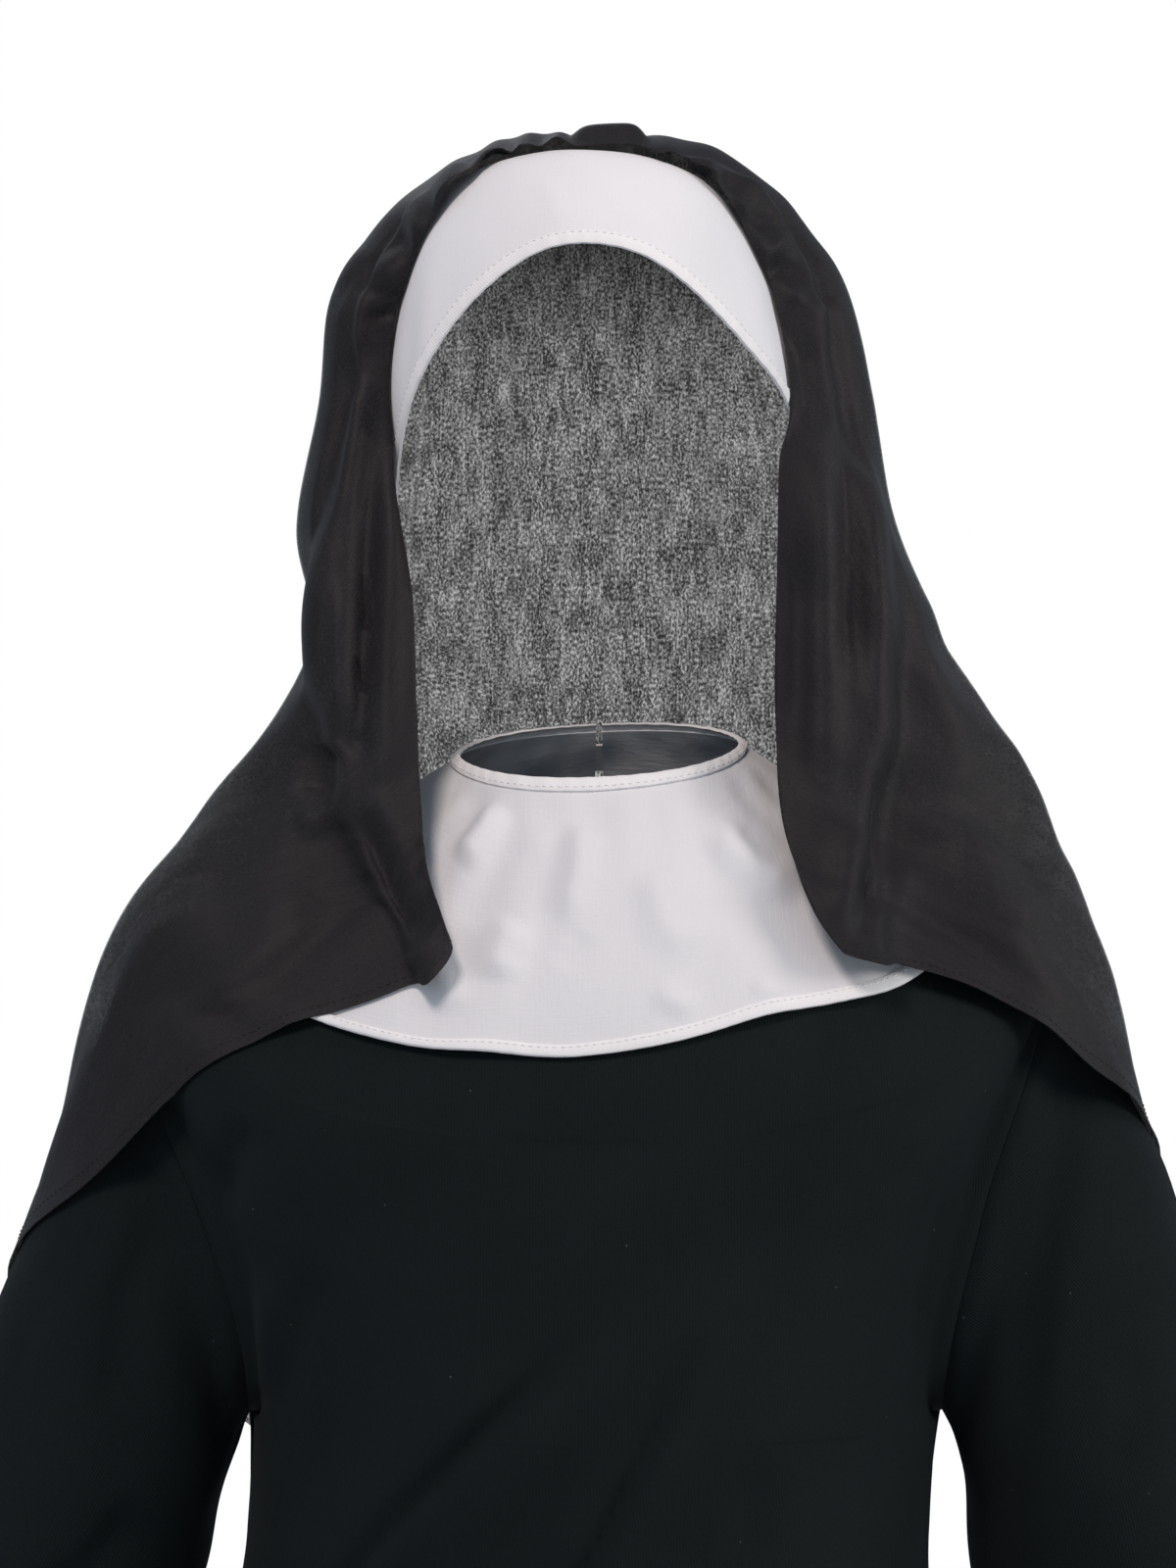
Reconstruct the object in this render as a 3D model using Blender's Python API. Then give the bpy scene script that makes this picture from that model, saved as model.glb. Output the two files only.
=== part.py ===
"""Nun habit, worn: a black veil gathered onto a white brow band, a round white bib and a long dark tunic.

Units are metres, +Z is up, the wearer faces -Y and the wearer's left arm is at +X. The origin is the
centre of the base of the neck. Every piece of cloth is a thin closed wall built about its middle surface.
"""

import math

import bpy
import numpy as np
from mathutils.kdtree import KDTree

# ---------------------------------------------------------------- sizes of the cloth and of the seams
TUNIC_WALL = 0.0015
VEIL_WALL = 0.0012
BIB_WALL = 0.0012
BAND_WALL = 0.0015
BINDING_WALL = 0.0018
SEAM_GAP = 0.0004
NECK_BINDING_WIDTH = 0.0065
HEM_BINDING_WIDTH = 0.0050
EDGING_WIDTH = 0.0050
BIB_OVER_TUNIC = 0.0028
VEIL_OVER_ALL = 0.0022

# ---------------------------------------------------------------- the worn form, hem to neck
# Each row is one ring of the garment: the half width at the sides, the depth at centre front and centre
# back, and the height of the ring at each of those places, because a ring that crosses a shoulder is
# higher at its sides. The tunic takes rows 0 to 10 and the bib takes rows 9 to 11.
HEM, SHIN, KNEE, HIP, WAIST, BUST, UNDERARM, CHEST, SHOULDER, BIB_HEM, TUNIC_NECK, NECK_BASE = range(12)
FORM_ROWS = np.array([
    # side_x, side_z, front_y, front_z, back_y, back_z
    (0.325, -1.360, -0.245, -1.360, 0.250, -1.360),  # HEM
    (0.290, -1.100, -0.215, -1.100, 0.222, -1.100),  # SHIN
    (0.248, -0.860, -0.182, -0.860, 0.192, -0.860),  # KNEE
    (0.198, -0.620, -0.152, -0.620, 0.160, -0.620),  # HIP
    (0.156, -0.430, -0.128, -0.430, 0.120, -0.430),  # WAIST
    (0.136, -0.310, -0.130, -0.310, 0.108, -0.310),  # BUST
    (0.130, -0.236, -0.125, -0.236, 0.112, -0.236),  # UNDERARM
    (0.152, -0.150, -0.115, -0.175, 0.116, -0.165),  # CHEST
    (0.168, -0.064, -0.107, -0.129, 0.112, -0.105),  # SHOULDER
    (0.140, -0.044, -0.099, -0.099, 0.102, -0.064),  # BIB_HEM
    (0.080, -0.008, -0.073, -0.042, 0.066, -0.006),  # TUNIC_NECK
    (0.051, 0.011, -0.046, 0.0007, 0.045, 0.021),  # NECK_BASE
])
# Where one side stands out more or less than the other: side, share of its width, row, half width in rows.
UNEVEN_SIDES = (
    (-1, 0.065, 7.6, 1.1),
    (1, -0.085, 5.0, 0.7),
)
NECK_TILT = 0.045  # the neck edge hangs this much lower towards -X for each metre across
ROUNDNESS = 0.88  # below 1 squares the rings off a little, as a torso does
RISE_POWER = 1.15  # how fast a ring climbs from front to shoulder
ARMHOLE_HALF_ANGLE = math.radians(23)
ARMHOLE_STEPS = 12  # steps down each half of an armhole, shared by the panels and the sleeve
SEAM_ANGLE = 0.0011  # keeps the front and back panels apart at the side and shoulder seams

# Soft folds of the skirt, all round: where each ridge stands, how wide and how deep it is at the hem.
SKIRT_FOLDS = (
    # angle_deg, half_width_deg, depth, top_z
    (-172, 11, 0.024, -0.62),
    (-141, 12, 0.030, -0.52),
    (-108, 10, 0.022, -0.70),
    (-74, 11, 0.027, -0.60),
    (-43, 10, 0.021, -0.56),
    (-12, 12, 0.026, -0.66),
    (22, 10, 0.019, -0.58),
    (51, 12, 0.029, -0.64),
    (86, 10, 0.023, -0.56),
    (117, 12, 0.028, -0.68),
    (149, 10, 0.021, -0.54),
)
# Drag creases across the front, from one point to the other as seen from in front.
FRONT_DRAGS = (
    # x0, z0, x1, z1, half_width, depth
    (0.045, -0.180, -0.085, -0.290, 0.014, 0.0045),
    (0.040, -0.205, -0.010, -0.290, 0.015, 0.0040),
    (-0.110, -0.190, -0.125, -0.270, 0.012, 0.0030),
    (0.120, -0.330, 0.020, -0.440, 0.020, 0.0050),
    (-0.120, -0.350, -0.030, -0.430, 0.018, 0.0045),
)
DRAG_FADE = 0.020  # a crease fades out over this length on each side of its ends

# ---------------------------------------------------------------- the sleeves
# Rings down each arm: centre, half width seen from in front, half depth seen from the side.
ARM_ROWS = {
    "sleeve_left": np.array([
        # x, y, z, half_width, half_depth
        (-0.203, 0.000, -0.285, 0.0540, 0.0580),
        (-0.230, 0.000, -0.350, 0.0520, 0.0550),
        (-0.260, -0.008, -0.460, 0.0500, 0.0530),
        (-0.280, -0.022, -0.580, 0.0530, 0.0560),
    ]),
    "sleeve_right": np.array([
        (0.196, 0.000, -0.285, 0.0570, 0.0580),
        (0.209, 0.000, -0.350, 0.0510, 0.0550),
        (0.234, -0.008, -0.460, 0.0500, 0.0530),
        (0.262, -0.022, -0.580, 0.0530, 0.0560),
    ]),
}
# The way each sleeve leaves its armhole: how far out at the underarm, how much more at the top of the cap
# and at its front and back, and how far down at the underarm with the share that is taken off at the top.
CAP_UNDERARM = 0.050
CAP_OUTWARD = {"sleeve_left": -0.034, "sleeve_right": 0.020}
CAP_FLANK = 0.020
CAP_DOWNWARD = 0.100
CAP_TOP_SHARE = 0.55

# ---------------------------------------------------------------- the brow band
# Stations from the right temple round the brow to the left one.
BAND_ROWS = np.array([
    # lower edge x, y, z, upper edge x, y, z
    (-0.0770, 0.020, 0.0850, -0.0800, 0.045, 0.1150),
    (-0.0750, -0.014, 0.1210, -0.0770, 0.030, 0.1500),
    (-0.0660, -0.047, 0.1505, -0.0740, 0.012, 0.1870),
    (-0.0475, -0.066, 0.1760, -0.0655, -0.010, 0.2125),
    (-0.0260, -0.074, 0.1925, -0.0410, -0.028, 0.2305),
    (-0.0075, -0.077, 0.1972, -0.0044, -0.034, 0.2355),
    (0.0135, -0.077, 0.1937, 0.0325, -0.028, 0.2285),
    (0.0315, -0.073, 0.1825, 0.0550, -0.010, 0.2100),
    (0.0530, -0.060, 0.1615, 0.0655, 0.010, 0.1880),
    (0.0695, -0.035, 0.1410, 0.0720, 0.028, 0.1580),
    (0.0750, 0.012, 0.1050, 0.0770, 0.045, 0.1250),
])
BAND_BULGE = 0.006  # the band is rounded across its width, as the head under it is
BAND_MIDDLE_STATION = 5
HEAD_CENTRE = (0.0, 0.02, 0.12)

# ---------------------------------------------------------------- the veil
# Sections from the seam on the band down to the hem. On each side: the front edge, the outer line of the
# front fold and the outline at the side. The middle of the back closes each section.
VEIL_LEFT = np.array([
    # edge x, y, z, fold x, y, z, side x, y, z
    (-0.040, -0.0340, 0.2275, -0.036, -0.0320, 0.2310, -0.024, -0.0340, 0.2335),  # band seam, top
    (-0.0565, -0.0300, 0.2150, -0.058, -0.0180, 0.2220, -0.054, 0.0000, 0.2293),
    (-0.0670, -0.0250, 0.2020, -0.076, -0.0130, 0.2095, -0.080, 0.0100, 0.2165),
    (-0.0745, -0.0160, 0.1800, -0.088, -0.0170, 0.1850, -0.100, 0.0120, 0.1900),
    (-0.0775, -0.0170, 0.1470, -0.092, -0.0220, 0.1470, -0.106, 0.0120, 0.1450),
    (-0.077, -0.0240, 0.1100, -0.098, -0.0300, 0.1030, -0.1150, 0.0120, 0.0960),  # end of the band
    (-0.070, -0.0350, 0.0700, -0.104, -0.0370, 0.0620, -0.1085, 0.0120, 0.0580),
    (-0.068, -0.0460, 0.0270, -0.099, -0.0460, 0.0200, -0.1230, 0.0100, 0.0260),
    (-0.066, -0.0600, -0.0080, -0.091, -0.0560, -0.0160, -0.150, 0.0060, -0.0100),
    (-0.063, -0.0760, -0.0330, -0.080, -0.0700, -0.0420, -0.184, 0.0010, -0.0560),
    (-0.058, -0.0860, -0.0500, -0.070, -0.0840, -0.0600, -0.201, -0.0030, -0.1120),
    (-0.0535, -0.0930, -0.0620, -0.062, -0.0975, -0.0780, -0.217, -0.0050, -0.1740),  # hem
])
VEIL_RIGHT = np.array([
    (0.034, -0.0310, 0.2290, 0.029, -0.0320, 0.2305, 0.017, -0.0340, 0.2340),  # band seam, top
    (0.0485, -0.0265, 0.2175, 0.053, -0.0160, 0.2270, 0.050, 0.0000, 0.2345),
    (0.0585, -0.0220, 0.2015, 0.070, -0.0120, 0.2110, 0.076, 0.0100, 0.2160),
    (0.0645, -0.0200, 0.1800, 0.080, -0.0170, 0.1850, 0.093, 0.0120, 0.1900),
    (0.0690, -0.0330, 0.1500, 0.086, -0.0240, 0.1500, 0.103, 0.0120, 0.1480),
    (0.0665, -0.0410, 0.1150, 0.096, -0.0340, 0.1120, 0.1095, 0.0120, 0.1050),  # end of the band
    (0.0655, -0.0450, 0.0720, 0.105, -0.0400, 0.0700, 0.125, 0.0120, 0.0690),
    (0.0650, -0.0520, 0.0200, 0.105, -0.0500, 0.0180, 0.153, 0.0100, 0.0230),
    (0.0670, -0.0620, -0.0120, 0.103, -0.0580, -0.0140, 0.1685, 0.0060, -0.0100),
    (0.0730, -0.0750, -0.0340, 0.101, -0.0680, -0.0350, 0.185, 0.0020, -0.0450),
    (0.0800, -0.0830, -0.0500, 0.100, -0.0780, -0.0520, 0.197, 0.0000, -0.0800),
    (0.0880, -0.0890, -0.0610, 0.104, -0.0860, -0.0655, 0.2085, -0.0020, -0.1270),  # hem
])
VEIL_BACK = np.array([
    # x, y, z of the centre back
    (-0.004, -0.0350, 0.2365),
    (-0.003, 0.0050, 0.2432),
    (-0.002, 0.0480, 0.2395),
    (0.000, 0.0830, 0.2170),
    (0.000, 0.1020, 0.1750),
    (0.000, 0.1080, 0.1200),
    (0.000, 0.1080, 0.0620),
    (0.000, 0.1140, 0.0050),
    (0.000, 0.1240, -0.0600),
    (0.000, 0.1340, -0.1400),
    (0.000, 0.1420, -0.2200),
    (0.000, 0.1480, -0.3000),
])
BAND_END_ROW = 5  # above this section the veil is sewn to the band, below it the edge hangs free
TURN_UNDER = (0.014, 0.0065)  # the free edge is turned under: how far outward, and how far behind
TURN_SHARE = 0.45  # and never more than this share of the front fold
SEAM_LAP = 0.003  # where it is sewn down, the edge laps this far over the band
FOLD_LEDGE = (0.007, 0.013)  # the back layer starts this far outside and behind the front fold
SEWN_LEDGE_SHARE = 0.2
# Points that round each half off: shares of the way from the fold to the side and from the side to the back.
FRONT_SHARE = (0.64, 0.38, 0.38)
REAR_SHARE = (0.32, 0.70, 0.66)
# Soft vertical folds of the back layer: across from side seam to side seam (-1 to 1), half width, depth.
VEIL_BACK_FOLDS = (
    # across, half_width, depth, top_section
    (-0.86, 0.10, 0.007, 6.5),
    (-0.55, 0.11, 0.010, 5.8),
    (-0.24, 0.10, 0.008, 6.8),
    (0.08, 0.12, 0.011, 6.0),
    (0.41, 0.10, 0.008, 6.6),
    (0.72, 0.11, 0.010, 5.9),
)
BACK_FOLD_FULL = 9.5  # the section at which these folds reach their full depth
# Small puffs where the veil is gathered onto the band.
GATHERS_LEFT = (
    # section, half_width, height
    (0.25, 0.22, 0.0020),
    (0.95, 0.28, 0.0030),
    (1.75, 0.30, 0.0035),
    (2.60, 0.35, 0.0040),
)
GATHERS_RIGHT = (
    (0.40, 0.25, 0.0030),
    (1.20, 0.30, 0.0040),
    (2.10, 0.35, 0.0035),
    (3.10, 0.40, 0.0035),
)
GATHER_PLACE = (1.4, 1.1)  # where a puff lies from the edge and its half width, in carrying points
TUFT_HEIGHT = 0.0080  # one small tuft stands on the band seam at the crown
TUFT_X = (0.003, 0.013)  # its place and half width across
TUFT_SECTION = (0.28, 0.22)  # its place and half width in sections


# ---------------------------------------------------------------- curves and walls
def through(points, at):
    """Catmull-Rom curve through points along axis 0, read at positions given in steps of one point."""
    points = np.asarray(points, float)
    chord = np.linalg.norm(np.diff(points, axis=0).reshape(len(points) - 1, -1), axis=1)
    step = np.sqrt(np.maximum(chord, 1e-6))
    shape = (-1,) + (1,) * (points.ndim - 1)
    slope = np.diff(points, axis=0) / step.reshape(shape)
    before, after = step[:-1].reshape(shape), step[1:].reshape(shape)
    inner = (slope[:-1] * after + slope[1:] * before) / (before + after)
    tangent = np.concatenate([slope[:1], inner, slope[-1:]])
    k = np.clip(np.floor(at).astype(int), 0, len(points) - 2)
    f = (np.asarray(at, float) - k).reshape(shape)
    reach = step[k].reshape(shape)
    return (
        (2 * f**3 - 3 * f**2 + 1) * points[k]
        + (f**3 - 2 * f**2 + f) * reach * tangent[k]
        + (3 * f**2 - 2 * f**3) * points[k + 1]
        + (f**3 - f**2) * reach * tangent[k + 1]
    )


def hump(distance, half_width):
    """A smooth hump of height 1 that fades out at about twice its half width."""
    return np.exp(-((distance / half_width) ** 2))


def ease(value, start, end):
    """Rises smoothly from 0 at start to 1 at end."""
    t = np.clip((value - start) / (end - start), 0, 1)
    return t * t * (3 - 2 * t)


def unit(vectors):
    return vectors / np.maximum(np.linalg.norm(vectors, axis=-1, keepdims=True), 1e-12)


def grid_normals(points, closed=False):
    """Normals of a grid of points, to the right of the way the columns run when the rows run down."""
    if closed:
        along = np.roll(points, -1, axis=1) - np.roll(points, 1, axis=1)
    else:
        along = np.gradient(points, axis=1)
    return unit(np.cross(along, np.gradient(points, axis=0)))


def make_material(name, colour, roughness):
    material = bpy.data.materials.new(name)
    material.use_nodes = True
    shader = material.node_tree.nodes["Principled BSDF"]
    shader.inputs["Base Color"].default_value = (*colour, 1)
    shader.inputs["Roughness"].default_value = roughness
    shader.inputs["Metallic"].default_value = 0
    return material


skins = {}  # the outer skin of each wall that is built, and its normals


def make_wall(name, middle, normals, wall, material, closed=False):
    """A closed wall about a grid of middle points: two skins and the strips that join their edges."""
    skins[name] = (middle + normals * wall / 2, normals)
    facing = np.cross(np.gradient(middle, axis=0), np.gradient(middle, axis=1))
    if np.sum(facing * normals) < 0:
        middle, normals = middle[:, ::-1], normals[:, ::-1]
    rows, columns = middle.shape[:2]
    both = np.concatenate([middle + normals * wall / 2, middle - normals * wall / 2])
    points = both.reshape(-1, 3)
    inner = rows * columns
    faces = []
    last_column = columns if closed else columns - 1
    for i in range(rows - 1):
        for j in range(last_column):
            a, b = i * columns + j, i * columns + (j + 1) % columns
            c, d = b + columns, a + columns
            faces.append((a, d, c, b))
            faces.append((a + inner, b + inner, c + inner, d + inner))
    for j in range(last_column):
        for i, turned in ((0, False), (rows - 1, True)):
            a, b = i * columns + j, i * columns + (j + 1) % columns
            edge = (a, b, b + inner, a + inner)
            faces.append(edge[::-1] if turned else edge)
    if not closed:
        for i in range(rows - 1):
            for j, turned in ((0, True), (columns - 1, False)):
                a, b = i * columns + j, (i + 1) * columns + j
                edge = (a, b, b + inner, a + inner)
                faces.append(edge[::-1] if turned else edge)
    mesh = bpy.data.meshes.new(name)
    mesh.from_pydata([tuple(p) for p in points], [], faces)
    mesh.materials.append(material)
    mesh.shade_smooth()
    piece = bpy.data.objects.new(name, mesh)
    bpy.context.scene.collection.objects.link(piece)
    return piece


# ---------------------------------------------------------------- the worn form as a surface
def form_point(angle, row):
    """Points of the worn form. Angle is 0 at centre front, +90 degrees at +X and 180 at centre back."""
    angle, row = np.broadcast_arrays(np.asarray(angle, float), np.asarray(row, float))
    ring = through(FORM_ROWS, row.reshape(-1)).reshape(*row.shape, 6)
    side_x, side_z, front_y, front_z, back_y, back_z = np.moveaxis(ring, -1, 0)
    ahead = np.cos(angle) > 0
    forward = np.abs(np.cos(angle))
    width = side_x.copy()
    for side, share, uneven_row, uneven_half in UNEVEN_SIDES:
        width += np.where(side * np.sin(angle) > 0, side_x * share * hump(row - uneven_row, uneven_half), 0)
    x = width * np.sign(np.sin(angle)) * np.abs(np.sin(angle)) ** ROUNDNESS
    y = np.where(ahead, front_y, back_y) * forward**ROUNDNESS
    z = side_z + (np.where(ahead, front_z, back_z) - side_z) * forward**RISE_POWER
    z = z + NECK_TILT * x * ease(row, BIB_HEM, NECK_BASE)
    outward = unit(np.stack([x, y, np.zeros_like(x)], -1))
    swell = np.zeros_like(x)
    for centre_deg, half_deg, depth, top_z in SKIRT_FOLDS:
        apart = np.degrees(angle) - centre_deg
        apart = (apart + 180) % 360 - 180
        swell += depth * hump(apart, half_deg) * ease(z, top_z, FORM_ROWS[HEM, 1])
    for x0, z0, x1, z1, half_width, depth in FRONT_DRAGS:
        run = np.array([x1 - x0, z1 - z0])
        length = np.hypot(*run)
        along = ((x - x0) * run[0] + (z - z0) * run[1]) / length
        across = ((x - x0) * run[1] - (z - z0) * run[0]) / length
        within = ease(along, -DRAG_FADE, DRAG_FADE) * ease(along, length + DRAG_FADE, length - DRAG_FADE)
        swell += np.where(ahead, depth * hump(across, half_width) * within, 0)
    return np.stack([x, y, z], -1) + outward * swell[..., None]


def form_normal(angle, row):
    """Outward normals of the worn form, the same on both sides of a seam."""
    step = 1e-3
    around = form_point(angle + step, row) - form_point(angle - step, row)
    upward = form_point(angle, row + step) - form_point(angle, row - step)
    return unit(np.cross(around, upward))


# ---------------------------------------------------------------- build the scene
for old in list(bpy.data.objects):
    bpy.data.objects.remove(old, do_unlink=True)

black_cloth = make_material("veil_black", (0.022, 0.019, 0.021), 0.75)
white_cloth = make_material("cotton_white", (0.80, 0.78, 0.78), 0.85)
white_tape = make_material("tape_white", (0.84, 0.80, 0.79), 0.80)
tunic_cloth = make_material("tunic_dark", (0.010, 0.014, 0.015), 0.80)


# Tunic: a front and a back panel, joined at the sides and shoulders, with an armhole at each side.
def panel_rows():
    """Rows of a body panel. They crowd at the ends of the armhole, where its outline turns fast."""
    skirt = np.array([0, 0.5, 1, 1.5, 2, 2.6, 3.2, 3.8, 4.3, 4.8, 5.3, 5.7])
    armhole = CHEST - np.cos(np.linspace(0, math.pi, ARMHOLE_STEPS + 1))
    yoke = np.linspace(SHOULDER, TUNIC_NECK, 5)[1:]
    return np.concatenate([skirt, armhole, yoke])


def panel_half_angle(row):
    """How far a panel reaches round from its centre line, which is less beside the armhole."""
    inside = np.clip(1 - (row - CHEST) ** 2, 0, 1)
    return math.pi / 2 - SEAM_ANGLE - ARMHOLE_HALF_ANGLE * np.sqrt(inside)


PANEL_COLUMNS = 20
rows = panel_rows()[::-1, None]
spread = np.linspace(-1, 1, PANEL_COLUMNS + 1)[None, :] * panel_half_angle(rows)
for panel_name, centre_angle in (("tunic_front", 0.0), ("tunic_back", math.pi)):
    angles = centre_angle + spread
    middle = form_point(angles, rows + 0 * angles)
    normals = form_normal(angles, rows + 0 * angles)
    make_wall(panel_name, middle, normals, TUNIC_WALL, tunic_cloth)


# Sleeves: each starts just inside its armhole, rounds over the shoulder and runs down the arm.
def sleeve_grid(arm_rows, side, cap_outward, around):
    """Rings of one sleeve from armhole to cuff. Around is 0 at the top of the armhole."""
    armhole = form_point(side * (math.pi / 2 - ARMHOLE_HALF_ANGLE * np.sin(around)), CHEST + np.cos(around))
    centre = armhole.mean(axis=0)
    inward = unit(centre - armhole)
    armhole = armhole + inward * (SEAM_GAP + TUNIC_WALL) + np.array([side * TUNIC_WALL, 0, 0])
    path = arm_rows[:, :3]
    heading = unit(np.gradient(path, axis=0))
    outward = unit(np.cross(heading, np.array([0, side, 0])))
    wide = arm_rows[:, None, 3:4] * outward[:, None] * np.cos(around)[None, :, None]
    deep = arm_rows[:, None, 4:5] * np.array([0, -1, 0]) * np.sin(around)[None, :, None]
    rings = path[:, None] + wide + deep
    top = ((1 + np.cos(around)) / 2)[:, None]
    flank = (np.sin(around) ** 2)[:, None]
    leave_x = side * (CAP_UNDERARM + cap_outward * top + CAP_FLANK * flank)
    leave_z = -CAP_DOWNWARD * (1 - CAP_TOP_SHARE * top)
    leave = np.concatenate([leave_x, 0 * top, leave_z], axis=1)
    arrive = np.linalg.norm(rings[0] - armhole, axis=1, keepdims=True) * heading[0]
    cap = []
    for f in np.linspace(0, 1, 6)[:-1]:
        cap.append(
            (2 * f**3 - 3 * f**2 + 1) * armhole
            + (f**3 - 2 * f**2 + f) * leave
            + (3 * f**2 - 2 * f**3) * rings[0]
            + (f**3 - f**2) * arrive
        )
    return np.concatenate([np.array(cap), through(rings, np.linspace(0, len(rings) - 1, 8))])


SLEEVE_COLUMNS = 2 * ARMHOLE_STEPS
for sleeve_name, side in (("sleeve_left", -1), ("sleeve_right", 1)):
    around = np.linspace(0, 2 * math.pi, SLEEVE_COLUMNS, endpoint=False) * side
    middle = sleeve_grid(ARM_ROWS[sleeve_name], side, CAP_OUTWARD[sleeve_name], around)
    make_wall(sleeve_name, middle, grid_normals(middle, closed=True), TUNIC_WALL, tunic_cloth, closed=True)


# Bib: a round collar on the shoulders of the tunic, slit at centre back, with both edges bound in tape.
BIB_SLIT_ANGLE = math.radians(0.7)
BIB_TILT = 0.20  # the hem hangs this much lower, in rows, on the wearer's right
BIB_DIP = (0.14, math.radians(58), math.radians(24))  # and a little lower again here: rows, angle, half width
BIB_COLUMNS = 48


def bib_grid(start, end, lift, columns=BIB_COLUMNS, row_count=6):
    """Points and normals on the bib between two distances from its neck edge, as shares of its depth."""
    angle = np.linspace(-math.pi + BIB_SLIT_ANGLE, math.pi - BIB_SLIT_ANGLE, columns + 1)[None, :]
    share = np.linspace(start, end, row_count)[:, None]
    dip, dip_angle, dip_half = BIB_DIP
    hem_row = BIB_HEM + BIB_TILT * np.sin(angle) - dip * hump(angle - dip_angle, dip_half)
    row = NECK_BASE + (hem_row - NECK_BASE) * share
    angle = angle + 0 * row
    normals = form_normal(angle, row)
    return form_point(angle, row) + normals * lift, normals


bib_front = form_point(np.zeros(9), np.linspace(NECK_BASE, BIB_HEM, 9))
bib_depth = np.linalg.norm(np.diff(bib_front, axis=0), axis=1).sum()
neck_share = NECK_BINDING_WIDTH / bib_depth
hem_share = HEM_BINDING_WIDTH / bib_depth
gap_share = SEAM_GAP / bib_depth

middle, normals = bib_grid(neck_share + gap_share, 1 - hem_share - gap_share, BIB_OVER_TUNIC)
make_wall("bib", middle, normals, BIB_WALL, white_cloth)
middle, normals = bib_grid(0, neck_share, BIB_OVER_TUNIC, row_count=2)
make_wall("bib_neck_binding", middle, normals, BINDING_WALL, white_tape)
middle, normals = bib_grid(1 - hem_share, 1, BIB_OVER_TUNIC, row_count=2)
make_wall("bib_hem_binding", middle, normals, BINDING_WALL, white_tape)

# Closing tab: lies across the slit at the back of the bib, just under the neck binding.
TAB_HALF_ANGLE = 0.24
TAB_ROWS = (10.62, 10.25)
tab_angle = math.pi + np.linspace(-TAB_HALF_ANGLE, TAB_HALF_ANGLE, 5)[None, :]
tab_row = np.linspace(*TAB_ROWS, 3)[:, None] + 0 * tab_angle
tab_angle = tab_angle + 0 * tab_row
normals = form_normal(tab_angle, tab_row)
middle = form_point(tab_angle, tab_row) + normals * (BIB_OVER_TUNIC + BIB_WALL + SEAM_GAP)
make_wall("bib_closure", middle, normals, BIB_WALL, white_tape)


# Brow band: runs over the brow from temple to temple, edged with tape. Its ends are caught in the veil.
def band_grid(start, end, stations, row_count):
    """Points across the band between two shares of its width, counted from its lower edge."""
    edges = through(BAND_ROWS, stations)
    lower, upper = edges[None, :, :3], edges[None, :, 3:]
    share = np.linspace(start, end, row_count)[:, None, None]
    flat = lower + (upper - lower) * share
    away = unit(flat - np.array(HEAD_CENTRE))
    return flat + away * BAND_BULGE * (4 * share * (1 - share))


BAND_STATIONS = np.linspace(0, len(BAND_ROWS) - 1, 33)
band_middle = BAND_ROWS[BAND_MIDDLE_STATION]
band_width = np.linalg.norm(band_middle[3:] - band_middle[:3])
edging_share = EDGING_WIDTH / band_width
band_gap = SEAM_GAP / band_width
middle = band_grid(edging_share + band_gap, 1, BAND_STATIONS, 5)
make_wall("headband", middle, grid_normals(middle), BAND_WALL, white_cloth)
middle = band_grid(0, edging_share, BAND_STATIONS, 2)
make_wall("headband_edging", middle, grid_normals(middle), BINDING_WALL, white_tape)


# Veil: one wide panel, gathered onto the band, open down the front and spread over the shoulders.
def veil_section(position):
    """The points that carry one section of the veil: seven on each side and the centre back."""
    back = through(VEIL_BACK, [position])[0]
    halves = []
    for table, side in ((VEIL_LEFT, -1), (VEIL_RIGHT, 1)):
        edge, fold, outline = through(table, [position])[0].reshape(3, 3)
        free = ease(position, BAND_END_ROW - 1.5, BAND_END_ROW + 0.5)
        turn_width = min(TURN_UNDER[0], TURN_SHARE * np.linalg.norm(fold - edge))
        turn = edge + np.array([side * turn_width, TURN_UNDER[1], 0]) * free
        turn = turn + unit(edge - fold) * SEAM_LAP * (1 - free)
        ledge = fold + np.array([side * FOLD_LEDGE[0], FOLD_LEDGE[1], 0]) * free
        ledge = ledge + (outline - fold) * SEWN_LEDGE_SHARE * (1 - free)
        front = fold + (outline - fold) * np.array(FRONT_SHARE)
        rear = outline + (back - outline) * np.array(REAR_SHARE)
        halves.append([turn, edge, fold, ledge, front, outline, rear])
    return np.array(halves[0] + [back] + halves[1][::-1])


VEIL_STEPS = (3, 4, 2, 4, 3, 5, 5)  # columns between one carrying point and the next, edge to back
SIDE_POINT = 5


def veil_columns():
    """Column positions, in carrying points, from the left turned edge round to the right one."""
    half = np.concatenate([k + np.arange(n) / n for k, n in enumerate(VEIL_STEPS)])
    last = 2 * len(VEIL_STEPS)
    return np.concatenate([half, [len(VEIL_STEPS)], last - half[::-1]])


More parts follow.
